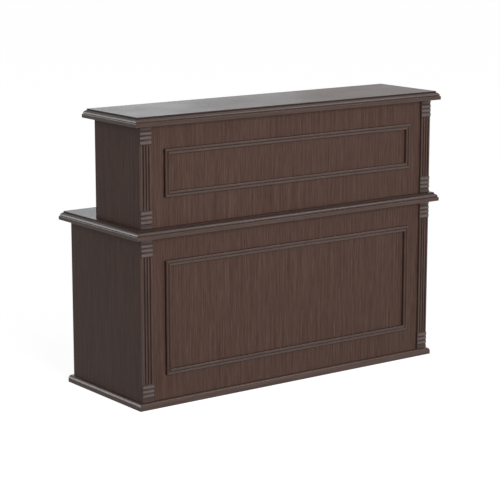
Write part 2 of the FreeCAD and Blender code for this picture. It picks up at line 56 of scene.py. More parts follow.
QUARTER_TURN = math.pi / 2
# The turn, in radians, past which a corner counts as an arris or a hollow
CORNER_TURN = 0.3
# How squarely a face looks along an axis before it counts as lying across it
SQUARE = 0.9
ZERO = (0.0, 0.0, 0.0)
UP = (0, 0, 1)
WHITE = (1.0, 1.0, 1.0, 1.0)
COOL_LIGHT = (0.80, 0.93, 1.0)
PIN_ROWS = (-209 * MM, 12 * MM)
OUTLETS = ((-560 * MM, 127 * MM), (560 * MM, 127 * MM))

FLOAT = "NodeSocketFloat"
INTEGER = "NodeSocketInt"
VECTOR = "NodeSocketVector"
COLOUR = "NodeSocketColor"
GEOMETRY = "NodeSocketGeometry"
MATERIAL = "NodeSocketMaterial"
OBJECT = "NodeSocketObject"

Point2 = tuple[float, float]
Point3 = tuple[float, float, float]
Colour = tuple[float, float, float, float]
Feeds = dict[int | str, object]
Border = dict[str, tuple[Point3, Point3, float, Material]]

log = logging.getLogger("reception_desk")


class Side(Enum):
    """The desk's two ends, as a visitor sees them."""

    LEFT = -1
    RIGHT = 1

    @property
    def word(self) -> str:
        """The end's name as the CAD nodes spell it."""
        return self.name.lower()


class Tier(Enum):
    """The two storeys of the desk."""

    LOWER = "lower"
    UPPER = "upper"


class Grain(Enum):
    """The way a piece's grain runs, as the turn that brings it onto the figure's own x axis."""

    ALONG_X = ZERO
    ALONG_Y = (0.0, 0.0, -QUARTER_TURN)
    ALONG_Z = (0.0, QUARTER_TURN, 0.0)


# Node wiring

def feed(tree: NodeTree, node: Node, feeds: Feeds) -> None:
    """Links or sets the inputs of a node that is already there.

    Args:
        tree: The node's tree.
        node: The node to feed.
        feeds: Input name or number, with a socket to link or a plain value to set.
    """
    for key, value in feeds.items():
        if isinstance(value, NodeSocket):
            tree.links.new(value, node.inputs[key])
        else:
            node.inputs[key].default_value = value


def add(tree: NodeTree, kind: str, feeds: Feeds | None = None, **settings: object) -> Node:
    """Adds one node and feeds its inputs.

    Args:
        tree: The node tree that gets the node.
        kind: The node's type name.
        feeds: Input name or number, with a socket to link or a plain value to set.
        settings: The node's own properties.

    Returns:
        The new node.
    """
    node = tree.nodes.new(kind)
    for name, value in settings.items():
        setattr(node, name, value)
    feed(tree, node, feeds or {})
    return node


def maths(tree: NodeTree, operation: str, *values: object, clamp: bool = False) -> NodeSocket:
    """Adds a Math node.

    Args:
        tree: The node tree that gets the node.
        operation: The operation's type name.
        values: Sockets or numbers, in input order.
        clamp: Whether the result is held between 0 and 1.

    Returns:
        The result's socket.
    """
    node = add(tree, "ShaderNodeMath", dict(enumerate(values)), operation=operation, use_clamp=clamp)
    return node.outputs[0]


def vector_maths(tree: NodeTree, operation: str, feeds: Feeds) -> NodeSocket:
    """Adds a Vector Math node.

    Args:
        tree: The node tree that gets the node.
        operation: The operation's type name.
        feeds: Input name or number, with a socket or a value.

    Returns:
        The resulting vector's socket.
    """
    return add(tree, "ShaderNodeVectorMath", feeds, operation=operation).outputs["Vector"]


def mixed(tree: NodeTree, factor: object, first: object, second: object, blend: str = "MIX") -> NodeSocket:
    """Adds a colour Mix node.

    Args:
        tree: The node tree that gets the node.
        factor: Socket or number between the two colours.
        first: The colour at factor 0.
        second: The colour at factor 1.
        blend: How the second colour is laid on the first.

    Returns:
        The mixed colour's socket.
    """
    node = add(tree, "ShaderNodeMix", data_type="RGBA", blend_type=blend)
    feed(tree, node, {0: factor, 6: first, 7: second})
    return node.outputs[2]


def new_group(name: str, kind: str, inputs: dict[str, str], outputs: dict[str, str]) -> NodeTree:
    """Starts a node group with named sockets.

    Args:
        name: The group's name.
        kind: The tree's type name.
        inputs: Each input's name and socket type.
        outputs: Each output's name and socket type.

    Returns:
        The empty group.
    """
    tree = bpy.data.node_groups.new(name, kind)
    for in_out, sockets in (("INPUT", inputs), ("OUTPUT", outputs)):
        for socket, socket_type in sockets.items():
            tree.interface.new_socket(socket, in_out=in_out, socket_type=socket_type)
    return tree


# Shared surface effects

# The layers of the wood's tone: changes in a metre along and across the grain, then the layer's share
FIGURE_LAYERS = {
    "lines": (3.0, 150.0, 1.0),
    "bands": (0.5, 20.0, 0.12),
    "flecks": (13.0, 270.0, 0.85),
    "hairs": (12.0, 640.0, 0.75),
}
TONE_MIDDLE = 1.36
HUE_STRETCH = (0.9, 110.0, 110.0)
WARM_TINT = (1.01, 0.998, 0.993, 1.0)
COOL_TINT = (0.99, 1.002, 1.007, 1.0)
PORE_STRETCH = (30.0, 980.0, 980.0)
PORE_START, PORE_FULL = 0.60, 0.72
PORE_STAIN, PORE_DEPTH = 0.45, 0.8
LINE_RELIEF, HAIR_RELIEF = 0.6, 0.4
PORE_ROUGHNESS, RUB_POLISH = 0.12, -0.08
PLANK_SHIFT = (3.17, 1.73, 1.19)
WEAR_AND_HIGHLIGHT_STRETCH = (34.0, 34.0, 34.0)
PAINTED_SHADE_STRETCH = (18.0, 18.0, 18.0)
SHEEN_STRETCH = (5.0, 5.0, 5.0)


def noise(tree: NodeTree, place: NodeSocket, stretch: Point3, detail: float = 2.0) -> NodeSocket:
    """Adds noise whose size differs along and across the grain.

    Args:
        tree: The node tree that gets the nodes.
        place: The surface point.
        stretch: How often the noise changes in a metre, along each axis.
        detail: The number of finer layers.

    Returns:
        The noise value's socket.
    """
    at = vector_maths(tree, "MULTIPLY", {0: place, 1: stretch})
    return add(tree, "ShaderNodeTexNoise", {"Vector": at, "Scale": 1.0, "Detail": detail}).outputs["Fac"]


def wood_figure() -> NodeTree:
    """Builds the group that draws straight-grained wood along x.

    Returns:
        The group, with Color, Height and Pores outputs.
    """
    tree = new_group(
        "wood_figure", "ShaderNodeTree",
        {"Vector": VECTOR, "Plank": FLOAT, "Dark": COLOUR, "Mid": COLOUR, "Pale": COLOUR, "Contrast": FLOAT},
        {"Color": COLOUR, "Height": FLOAT, "Pores": FLOAT})
    given = add(tree, "NodeGroupInput").outputs
    shift = vector_maths(tree, "SCALE", {0: PLANK_SHIFT, "Scale": given["Plank"]})
    place = vector_maths(tree, "ADD", {0: given["Vector"], 1: shift})
    layers = {name: noise(tree, place, (along, across, across))
              for name, (along, across, _) in FIGURE_LAYERS.items()}
    hue = noise(tree, place, HUE_STRETCH)
    dashes = noise(tree, place, PORE_STRETCH, 1.0)
    spread = 0.0
    for name, (_, _, share) in FIGURE_LAYERS.items():
        spread = maths(tree, "MULTIPLY_ADD", layers[name], share, spread)
    centred = maths(tree, "SUBTRACT", spread, TONE_MIDDLE)
    tone = maths(tree, "MULTIPLY_ADD", centred, given["Contrast"], 0.5)
    deep = mixed(tree, maths(tree, "MULTIPLY", tone, 2.0, clamp=True), given["Dark"], given["Mid"])
    full = mixed(tree, maths(tree, "MULTIPLY_ADD", tone, 2.0, -1.0, clamp=True), deep, given["Pale"])
    tint = mixed(tree, maths(tree, "MULTIPLY_ADD", hue, 2.4, -0.7, clamp=True), WARM_TINT, COOL_TINT)
    tinted = mixed(tree, 1.0, full, tint, "MULTIPLY")
    pores = add(tree, "ShaderNodeMapRange", {0: dashes, 1: PORE_START, 2: PORE_FULL}).outputs[0]
    poured = mixed(tree, maths(tree, "MULTIPLY", pores, PORE_STAIN), tinted, given["Dark"])
    relief = maths(tree, "MULTIPLY_ADD", layers["lines"], LINE_RELIEF,
                   maths(tree, "MULTIPLY", layers["hairs"], HAIR_RELIEF))
    add(tree, "NodeGroupOutput", {
        "Color": poured,
        "Height": maths(tree, "SUBTRACT", relief, maths(tree, "MULTIPLY", pores, PORE_DEPTH)),
        "Pores": pores,
    })
    return tree


def worn_arris() -> NodeTree:
    """Builds the group that lightens a finish along the edges marked on the mesh, partly as wear and partly
    as a painted highlight.

    Returns:
        The group, with Color and Mask outputs.
    """
    tree = new_group(
        "worn_arris", "ShaderNodeTree",
        {"Vector": VECTOR, "Color": COLOUR, "Rubbed": COLOUR, "Amount": FLOAT},
        {"Color": COLOUR, "Mask": FLOAT})
    given = add(tree, "NodeGroupInput").outputs
    arris = add(tree, "ShaderNodeAttribute", attribute_name="arris").outputs["Fac"]
    patches = noise(tree, given["Vector"], WEAR_AND_HIGHLIGHT_STRETCH, 4.0)
    broken = add(tree, "ShaderNodeMapRange", {0: patches, 1: 0.25, 2: 0.65, 3: 0.55, 4: 1.0}).outputs[0]
    mask = maths(tree, "MULTIPLY", maths(tree, "MULTIPLY", arris, broken), given["Amount"], clamp=True)
    add(tree, "NodeGroupOutput", {
        "Color": mixed(tree, mask, given["Color"], given["Rubbed"]),
        "Mask": mask,
    })
    return tree


def settled_glaze() -> NodeTree:
    """Builds the group that paints shade into the hollows and bores marked on the mesh.

    Returns:
        The group, with a Color output.
    """
    tree = new_group(
        "settled_glaze", "ShaderNodeTree",
        {"Vector": VECTOR, "Color": COLOUR, "Glaze": COLOUR, "Amount": FLOAT}, {"Color": COLOUR})
    given = add(tree, "NodeGroupInput").outputs
    hollow = add(tree, "ShaderNodeAttribute", attribute_name="hollow").outputs["Fac"]
    bored = add(tree, "ShaderNodeAttribute", attribute_name="bored").outputs["Fac"]
    uneven = maths(tree, "MULTIPLY_ADD", noise(tree, given["Vector"], PAINTED_SHADE_STRETCH, 3.0), 0.5, 0.75)
    depth = maths(tree, "MULTIPLY", maths(tree, "MAXIMUM", hollow, bored), uneven)
    mask = maths(tree, "MULTIPLY", depth, given["Amount"], clamp=True)
    add(tree, "NodeGroupOutput", {"Color": mixed(tree, mask, given["Color"], given["Glaze"])})
    return tree


def satin_sheen() -> NodeTree:
    """Builds the group that lets roughness drift over a surface and rise in its pores.

    Returns:
        The group, with a Roughness output.
    """
    tree = new_group(
        "satin_sheen", "ShaderNodeTree",
        {"Vector": VECTOR, "Roughness": FLOAT, "Drift": FLOAT, "Pores": FLOAT, "Rub": FLOAT},
        {"Roughness": FLOAT})
    given = add(tree, "NodeGroupInput").outputs
    cloud = noise(tree, given["Vector"], SHEEN_STRETCH, 3.0)
    drifted = maths(tree, "MULTIPLY_ADD", maths(tree, "SUBTRACT", cloud, 0.5), given["Drift"],
                    given["Roughness"])
    pored = maths(tree, "MULTIPLY_ADD", given["Pores"], PORE_ROUGHNESS, drifted)
    rubbed = maths(tree, "MULTIPLY_ADD", given["Rub"], RUB_POLISH, pored, clamp=True)
    add(tree, "NodeGroupOutput", {"Roughness": rubbed})
    return tree


@dataclass
class Effects:
    """The shader groups that the finishes share."""

    figure: NodeTree = field(default_factory=wood_figure)
    arris: NodeTree = field(default_factory=worn_arris)
    glaze: NodeTree = field(default_factory=settled_glaze)
    sheen: NodeTree = field(default_factory=satin_sheen)


# Finishes

class Finish:
    """What every finish shares: a pattern on Object coordinates, edges lightened partly by wear and partly by
    a painted highlight, and an uneven sheen.
    """

    name: str
    rubbed: Colour
    wear: float
    roughness: float
    drift: float
    relief_depth: float
    relief_share: float

    def begin(self, turn: Point3 = ZERO) -> tuple[Material, NodeSocket]:
        """Starts the material.

        Args:
            turn: The turn of the pattern, in radians.

        Returns:
            The material and the socket of its pattern's place.
        """
        material = bpy.data.materials.new(self.name)
        material.use_nodes = True
        tree = material.node_tree
        place = add(tree, "ShaderNodeTexCoord").outputs["Object"]
        mapping = add(tree, "ShaderNodeMapping", {"Vector": place, "Rotation": turn})
        return material, mapping.outputs["Vector"]

    def worn(self, tree: NodeTree, effects: Effects, place: NodeSocket, colour: NodeSocket) -> Node:
        """Adds the lightening of the edges, which is partly wear and partly a painted highlight.

        Args:
            tree: The material's tree.
            effects: The shared shader groups.
            place: The pattern's place.
            colour: The colour before its edges are lightened by wear and painted highlight.

        Returns:
            The group's node, with Color and Mask outputs.
        """
        feeds = {"Vector": place, "Color": colour, "Rubbed": self.rubbed, "Amount": self.wear}
        return add(tree, "ShaderNodeGroup", feeds, node_tree=effects.arris)

    def close(self, tree: NodeTree, effects: Effects, place: NodeSocket, colour: NodeSocket,
              pores: NodeSocket, rub: NodeSocket, height: NodeSocket, plain: Feeds) -> None:
        """Adds the sheen and the relief, and feeds the Principled BSDF.

        Args:
            tree: The material's tree.
            effects: The shared shader groups.
            place: The pattern's place.
            colour: The finished colour.
            pores: Where the surface is rougher.
            rub: Where the surface is rubbed smooth.
            height: The pattern that is pressed into the surface.
            plain: The shader's inputs that are the same all over.
        """
        sheen = add(tree, "ShaderNodeGroup", {
            "Vector": place, "Roughness": self.roughness, "Drift": self.drift, "Pores": pores, "Rub": rub,
        }, node_tree=effects.sheen)
        bump = add(tree, "ShaderNodeBump", {
            "Height": height, "Distance": self.relief_depth, "Strength": self.relief_share})
        feed(tree, tree.nodes["Principled BSDF"], plain | {
            "Base Color": colour, "Roughness": sheen.outputs["Roughness"], "Normal": bump.outputs["Normal"]})


@dataclass(frozen=True)
class WoodFinish(Finish):
    """Wood under a satin varnish or foil, with its figure and pores, edges lightened partly by wear and
    partly by a painted highlight, and painted shade in its hollows.
    """

    name: str
    grain: Grain
    dark: Colour = (0.0460, 0.0228, 0.0174, 1.0)
    mid: Colour = (0.0745, 0.0433, 0.0347, 1.0)
    pale: Colour = (0.111, 0.0705, 0.0578, 1.0)
    # The rubbed colour is partly wear and partly a painted highlight; the glaze colour is a near-black
    # painted shade for hollows, bores and joints.
    rubbed: Colour = (0.130, 0.0820, 0.0650, 1.0)
    glaze: Colour = (0.012, 0.0062, 0.0048, 1.0)
    glaze_share: float = 0.8
    contrast: float = 1.05
    roughness: float = 0.38
    drift: float = 0.10
    ior: float = 1.22
    wear: float = 0.35
    relief_depth: float = 0.15 * MM
    relief_share: float = 0.2

    def material(self, effects: Effects) -> Material:
        """Builds the material.

        Args:
            effects: The shared shader groups.

        Returns:
            The finished material.
        """
        material, place = self.begin(self.grain.value)
        tree = material.node_tree
        plank = add(tree, "ShaderNodeAttribute", attribute_name="plank").outputs["Fac"]
        figure = add(tree, "ShaderNodeGroup", {
            "Vector": place, "Plank": plank, "Dark": self.dark, "Mid": self.mid, "Pale": self.pale,
            "Contrast": self.contrast,
        }, node_tree=effects.figure).outputs
        worn = self.worn(tree, effects, place, figure["Color"]).outputs
        glaze = add(tree, "ShaderNodeGroup", {
            "Vector": place, "Color": worn["Color"], "Glaze": self.glaze, "Amount": self.glaze_share,
        }, node_tree=effects.glaze).outputs
        self.close(tree, effects, place, glaze["Color"], figure["Pores"], worn["Mask"], figure["Height"],
                   {"IOR": self.ior})
        return material


@dataclass(frozen=True)
class MetalFinish(Finish):
    """Plated or turned metal with drawn lines and cloudy plating."""

    name: str
    dull: Colour
    rubbed: Colour
    roughness: float = 0.32
    drift: float = 0.18
    wear: float = 0.5
    relief_depth: float = 0.05 * MM
    relief_share: float = 0.2
    clouds: Point3 = (180.0, 180.0, 180.0)
    lines: Point3 = (60.0, 60.0, 900.0)

    def material(self, effects: Effects) -> Material:
        """Builds the material.

        Args:
            effects: The shared shader groups.

        Returns:
            The finished material.
        """
        material, place = self.begin()
        tree = material.node_tree
        drawn = noise(tree, place, self.lines)
        plated = mixed(tree, noise(tree, place, self.clouds, 4.0), self.dull, self.rubbed)
        worn = self.worn(tree, effects, place, plated).outputs
        self.close(tree, effects, place, worn["Color"], drawn, worn["Mask"], drawn, {"Metallic": 1.0})
        return material


@dataclass(frozen=True)
class PlasticFinish(Finish):
    """Moulded plastic with a fine sparked texture and scuffed edges."""

    name: str
    colour: Colour
    rubbed: Colour
    roughness: float = 0.42
    drift: float = 0.12
    wear: float = 0.6
    relief_depth: float = 0.06 * MM
    relief_share: float = 0.3
    grit: Point3 = (2600.0, 2600.0, 2600.0)
    haze: Point3 = (40.0, 40.0, 40.0)
    haze_share: float = 0.3

    def material(self, effects: Effects) -> Material:
        """Builds the material.

        Args:
            effects: The shared shader groups.

        Returns:
            The finished material.
        """
        material, place = self.begin()
        tree = material.node_tree
        grit = noise(tree, place, self.grit, 1.0)
        haze = maths(tree, "MULTIPLY", noise(tree, place, self.haze, 3.0), self.haze_share)
        worn = self.worn(tree, effects, place, mixed(tree, haze, self.colour, self.rubbed)).outputs
        self.close(tree, effects, place, worn["Color"], grit, worn["Mask"], grit, {})
        return material


class Finishes:
    """Every material of the desk, made once."""

    def __init__(self) -> None:
        """Makes the materials."""
        effects = Effects()

        def wood(name: str, grain: Grain, **changes: object) -> Material:
            """One wooden material."""
            return WoodFinish(name, grain, **changes).material(effects)

        def metal(name: str, dull: Colour, rubbed: Colour, **changes: object) -> Material:
            """One metal material."""
            return MetalFinish(name, dull, rubbed, **changes).material(effects)

        self.panel = wood("wenge_panel", Grain.ALONG_Z, ior=1.15)
        self.shelf = wood("wenge_shelf", Grain.ALONG_X)
        self.top = wood("wenge_top", Grain.ALONG_X, roughness=0.30, ior=1.14, relief_share=0.06)
        # The core's upright edge faces get this near-black finish as painted shade.
        self.edging = wood("wenge_edging", Grain.ALONG_X, dark=(0.020, 0.0125, 0.0110, 1.0),
                           mid=(0.031, 0.0205, 0.0180, 1.0), pale=(0.044, 0.0300, 0.0265, 1.0),
                           rubbed=(0.060, 0.0430, 0.0380, 1.0), ior=1.20)
        # The wear amounts here also set the painted highlight on the mouldings' edges and bead crowns.
        gloss = {"dark": (0.036, 0.0178, 0.0134, 1.0), "mid": (0.0580, 0.0316, 0.0246, 1.0),
                 "pale": (0.087, 0.0512, 0.0408, 1.0), "roughness": 0.21, "ior": 1.38, "wear": 0.2}
        smooth = {"ior": 1.26, "roughness": 0.23, "drift": 0.03, "relief_share": 0.02}
        soft = {"ior": 1.26, "roughness": 0.38, "wear": 0.12}
        self.moulding_x = wood("wenge_moulding_across", Grain.ALONG_X, **gloss)
        self.moulding_y = wood("wenge_moulding_deep", Grain.ALONG_Y, **(gloss | smooth))
        self.moulding_z = wood("wenge_moulding_upright", Grain.ALONG_Z, **soft)
        self.frame_z = wood("wenge_frame_upright", Grain.ALONG_Z, **(gloss | soft))
        # The block's pale, neutral rubbed colour and strong wear paint a highlight along the crowns of its
        # ribs and roll, with some wear.
        self.block = wood("wenge_block", Grain.ALONG_X, dark=(0.028, 0.0150, 0.0118, 1.0),
                          mid=(0.045, 0.0260, 0.0208, 1.0), pale=(0.067, 0.0405, 0.0330, 1.0),
                          rubbed=(0.150, 0.1130, 0.1030, 1.0), roughness=0.34, ior=1.36, wear=0.75)
        self.beech = wood("beech_dowel", Grain.ALONG_Z, dark=(0.36, 0.21, 0.11, 1.0),
                          mid=(0.52, 0.33, 0.19, 1.0), pale=(0.64, 0.45, 0.28, 1.0),
                          rubbed=(0.70, 0.52, 0.35, 1.0), roughness=0.55)
        self.zinc = metal("bright_zinc", (0.50, 0.52, 0.55, 1.0), (0.72, 0.73, 0.74, 1.0))
        self.steel = metal("nickelled_steel", (0.56, 0.55, 0.53, 1.0), (0.76, 0.75, 0.73, 1.0),
                           roughness=0.24)
        self.brass = metal("turned_brass", (0.58, 0.41, 0.16, 1.0), (0.80, 0.60, 0.28, 1.0))
        self.plastic = PlasticFinish("black_plastic", (0.012, 0.012, 0.013, 1.0),
                                     (0.045, 0.045, 0.047, 1.0)).material(effects)


# Sections and node trees that make pieces

@dataclass(frozen=True)
class Section:
    """A closed cross-section, drawn anticlockwise, with eased corners and bowed edges.

    A corner's ease is its radius. An edge's bow is the rise of its arc, outwards if positive. Outward
    corners and the crowns of outward bows carry a painted highlight that also stands for wear. Painted
    shade lies in every inward corner, and in the corners that are named with a depth of their own, and
    fades over the spread.
    """

    corners: tuple[Point2, ...]
    eases: dict[int, float] = field(default_factory=dict)
    bows: dict[int, float] = field(default_factory=dict)
    glaze: dict[int, float] = field(default_factory=dict)
    ease_steps: int = 4
    bow_steps: int = 14
    margin: float = 1.5 * MM
    spread: float = 3.5 * MM

    def corner(self, index: int) -> tuple[list[Vector], float]:
        """One corner, rounded where it has an ease.

        Args:
            index: The corner's number.

        Returns:
            The corner's points and its turn, which is positive where it points outwards.
        """
        count = len(self.corners)
        at = Vector(self.corners[index])
        ahead = (Vector(self.corners[(index + 1) % count]) - at).normalized()
        behind = (at - Vector(self.corners[index - 1])).normalized()
        turn = math.atan2(behind.x * ahead.y - behind.y * ahead.x, behind.dot(ahead))
        ease = self.eases.get(index, 0.0)
        if not ease:
            return [at], turn
        reach = ease * math.tan(abs(turn) / 2)
        start = at - behind * reach
        inward = Vector((-behind.y, behind.x)) * math.copysign(1.0, turn)
        centre = start + inward * ease
        points = []
        for step in range(self.ease_steps + 1):
            spoke = start - centre
            spoke.rotate(Matrix.Rotation(turn * step / self.ease_steps, 2))
            points.append(centre + spoke)
        return points, turn

    def edge(self, index: int, start: Vector, end: Vector) -> list[tuple[Vector, float]]:
        """The points between two corners.

        Args:
            index: The edge's number.
            start: Where the edge begins.
            end: Where the edge ends.

        Returns:
            Points along the edge, each with how exposed it is; an outward bow's crown gets a painted
            highlight that also stands for wear.
        """
        bow = self.bows.get(index, 0.0)
        run = end - start
        if not bow:
            if run.length < 3 * self.margin:
                return []
            inset = run.normalized() * self.margin
            return [(start + inset, 0.0), (end - inset, 0.0)]
        out = Vector((run.y, -run.x)).normalized() * math.copysign(1.0, bow)
        rise = abs(bow)
        radius = (run.length ** 2 / 4 + rise ** 2) / (2 * rise)
        half = math.asin(min(1.0, run.length / 2 / radius))
        centre = (start + end) / 2 + out * (rise - radius)
        points = []
        for step in range(1, self.bow_steps):
            share = step / self.bow_steps
            angle = half * (2 * share - 1)
            at = centre + out * radius * math.cos(angle) + run.normalized() * radius * math.sin(angle)
            # An outward bow is lightest at its crown, a painted highlight that also stands for wear.
            points.append((at, math.sin(math.pi * share) ** 2 if bow > 0 else 0.0))
        return points

    def traced(self) -> list[tuple[Vector, float, float]]:
        """The whole outline.

        Returns:
            Each point's place in the section, how strongly it is rubbed and painted with highlight, and how
            deep the painted shade lies.
        """
        count = len(self.corners)
        made = [self.corner(index) for index in range(count)]
        outline, wells = [], []
        for index, (points, turn) in enumerate(made):
            # Inward corners get full painted shade unless a depth is named; outward corners get the painted
            # highlight that also stands for wear.
            depth = self.glaze.get(index, 1.0 if turn < -CORNER_TURN else 0.0)
            if depth:
                wells.append((len(outline) + len(points) // 2, depth))
            outline += [(point, 1.0 if turn > CORNER_TURN else 0.0) for point in points]
            outline += self.edge(index, points[-1], made[(index + 1) % count][0][0])
        return self.glazed(outline, wells)

    def glazed(self, outline: list[tuple[Vector, float]],
               wells: list[tuple[int, float]]) -> list[tuple[Vector, float, float]]:
        """Lays the painted shade, with more points round each hollow so that it can fade.

        Args:
            outline: Each point and how exposed it is to rubbing and painted highlight.
            wells: The points in the hollows, by number, and how deep the painted shade lies there.

        Returns:
            Each point, how exposed it is to rubbing and painted highlight, and how deep the painted shade
            lies.
        """
        walk = [0.0]
        for (point, _), (after, _) in zip(outline, outline[1:] + outline[:1]):
            walk.append(walk[-1] + (after - point).length)
        laps = [(walk[index] + lap * walk[-1], depth) for index, depth in wells for lap in (-1, 0, 1)]
        marks = sorted(at + self.spread * share for at, _ in laps for share in (-1.0, -0.5, 0.5, 1.0))
        laid = []
        for index, (point, worn) in enumerate(outline):
            after, worn_and_highlit_after = outline[(index + 1) % len(outline)]
            start, end = walk[index], walk[index + 1]
            stops = [start]
            for mark in marks:
                if stops[-1] + self.margin / 3 < mark < end - self.margin / 3:
                    stops.append(mark)
            for stop in stops:
                share = (stop - start) / (end - start)
                deep = max((depth * max(0.0, 1.0 - abs(stop - at) / self.spread) for at, depth in laps),
                           default=0.0)
                laid.append((point.lerp(after, share), worn + (worn_and_highlit_after - worn) * share, deep))
        return laid


def finish_tree(tree: NodeTree, geometry: NodeSocket, material: NodeSocket) -> None:
    """Ends a tree with real geometry that carries its material.

    Args:
        tree: The tree to end.
        geometry: What the tree has made.
        material: The material's input.
    """
    real = add(tree, "GeometryNodeRealizeInstances", {"Geometry": geometry})
    dressed = add(tree, "GeometryNodeSetMaterial", {"Geometry": real.outputs[0], "Material": material})
    add(tree, "NodeGroupOutput", {0: dressed.outputs[0]})


def moulding_run() -> NodeTree:
    """Builds the tree that runs a section along z and mitres its two ends.

    Returns:
        The tree. A mitre is how far the end moves along z for each metre across the section.
    """
    tree = new_group(
        "moulding_run", "GeometryNodeTree",
        {"Section": GEOMETRY, "Length": FLOAT, "Start Mitre": FLOAT, "End Mitre": FLOAT,
         "Material": MATERIAL},
        {"Geometry": GEOMETRY})
    given = add(tree, "NodeGroupInput").outputs
    run = add(tree, "GeometryNodeExtrudeMesh", {
        "Mesh": given["Section"], "Offset": add(tree, "ShaderNodeCombineXYZ", {"Z": 1.0}).outputs[0],
        "Offset Scale": given["Length"], "Individual": False}, mode="FACES")
    foot = add(tree, "GeometryNodeFlipFaces", {"Mesh": given["Section"]})
    both = add(tree, "GeometryNodeJoinGeometry", {"Geometry": run.outputs["Mesh"]})
    tree.links.new(foot.outputs[0], both.inputs[0])
    whole = add(tree, "GeometryNodeMergeByDistance", {"Geometry": both.outputs[0], "Distance": TINY})
    place = add(tree, "ShaderNodeSeparateXYZ", {0: add(tree, "GeometryNodeInputPosition").outputs[0]}).outputs
    share = maths(tree, "DIVIDE", place["Z"], given["Length"])
    change = maths(tree, "SUBTRACT", given["End Mitre"], given["Start Mitre"])
    slope = maths(tree, "MULTIPLY_ADD", share, change, given["Start Mitre"])
    shift = add(tree, "ShaderNodeCombineXYZ", {"Z": maths(tree, "MULTIPLY", slope, place["X"])})
    mitred = add(tree, "GeometryNodeSetPosition", {"Geometry": whole.outputs[0], "Offset": shift.outputs[0]})
    finish_tree(tree, mitred.outputs[0], given["Material"])
    return tree


def bored_row() -> NodeTree:
    """Builds the tree that bores a row of round holes or flutes into a piece.

    Returns:
        The tree.
    """
    tree = new_group(
        "bored_row", "GeometryNodeTree",
        {"Piece": GEOMETRY, "Count": INTEGER, "First": VECTOR, "Pitch": VECTOR, "Tilt": VECTOR,
         "Diameter": FLOAT, "Depth": FLOAT, "Facets": INTEGER, "Material": MATERIAL},
        {"Geometry": GEOMETRY})
    given = add(tree, "NodeGroupInput").outputs
    row = add(tree, "GeometryNodeMeshLine", {"Count": given["Count"], "Start Location": given["First"],
                                             "Offset": given["Pitch"]}, mode="OFFSET")
    bit = add(tree, "GeometryNodeMeshCylinder", {
        "Vertices": given["Facets"], "Radius": maths(tree, "MULTIPLY", given["Diameter"], 0.5),
        "Depth": given["Depth"]})
    turn = add(tree, "FunctionNodeEulerToRotation", {0: given["Tilt"]})
    bits = add(tree, "GeometryNodeInstanceOnPoints", {
        "Points": row.outputs[0], "Instance": bit.outputs["Mesh"], "Rotation": turn.outputs[0]})
    cutters = add(tree, "GeometryNodeRealizeInstances", {"Geometry": bits.outputs[0]})
    # The cutters' faces are marked so that the walls of the bored holes and flutes get painted shade.
    marked = add(tree, "GeometryNodeStoreNamedAttribute", {
        "Geometry": cutters.outputs[0], "Name": "bored", "Value": 1.0}, data_type="FLOAT", domain="FACE")
    bored = add(tree, "GeometryNodeMeshBoolean", {"Mesh 1": given["Piece"], "Mesh 2": marked.outputs[0]},
                operation="DIFFERENCE", solver="EXACT")
    finish_tree(tree, bored.outputs[0], given["Material"])
    return tree


def fittings_on_points() -> NodeTree:
    """Builds the tree that sets one fitting on every point, turned as the point says.

    Returns:
        The tree.
    """
    tree = new_group(
        "fittings_on_points", "GeometryNodeTree",
        {"Points": GEOMETRY, "Fitting": OBJECT, "Scale": FLOAT, "Material": MATERIAL},
        {"Geometry": GEOMETRY})
    given = add(tree, "NodeGroupInput").outputs
    shape = add(tree, "GeometryNodeObjectInfo", {"Object": given["Fitting"], "As Instance": True})
    turn = add(tree, "GeometryNodeInputNamedAttribute", {"Name": "turn"}, data_type="FLOAT_VECTOR")
    turned = add(tree, "FunctionNodeEulerToRotation", {0: turn.outputs["Attribute"]})
    placed = add(tree, "GeometryNodeInstanceOnPoints", {
        "Points": given["Points"], "Instance": shape.outputs["Geometry"], "Rotation": turned.outputs[0],
        "Scale": given["Scale"]})
    finish_tree(tree, placed.outputs[0], given["Material"])
    return tree


@dataclass(frozen=True)
class Bores:
    """A row of round holes or flutes, in the frame of the piece's own section and length."""

    count: int
    first: Point3
    pitch: Point3
    diameter: float
    depth: float
    tilt: Point3 = ZERO
    facets: int = 32

    def inputs(self) -> dict[str, object]:
        """The values for the bored_row tree's named inputs."""
        return {"Count": self.count, "First": self.first, "Pitch": self.pitch, "Tilt": self.tilt,
                "Diameter": self.diameter, "Depth": self.depth, "Facets": self.facets}


@dataclass(frozen=True)
class Spot:
    """Where a fitting sits, and the turn from its own z axis."""

    at: Point3
    turn: Euler

    @staticmethod
    def facing(at: Point3, out: Point3) -> "Spot":
        """A fitting at a point whose head faces a direction.

        Args:
            at: The fitting's place.
            out: The direction in which its head faces.

        Returns:
            The spot.
        """
        return Spot(at, Vector(out).to_track_quat("Z", "Y").to_euler())


def axes(across: Point3, up: Point3, at: Point3) -> Matrix:
    """The place of a run whose section lies on two directions.

    Args:
        across: The direction of the section's first axis.
        up: The direction of the section's second axis.
        at: The section's origin.

    Returns:
        The matrix that brings a run along z to its place.
    """
    first, second = Vector(across), Vector(up)
    turn = Matrix((first, second, first.cross(second))).transposed()
    return Matrix.Translation(at) @ turn.to_4x4()


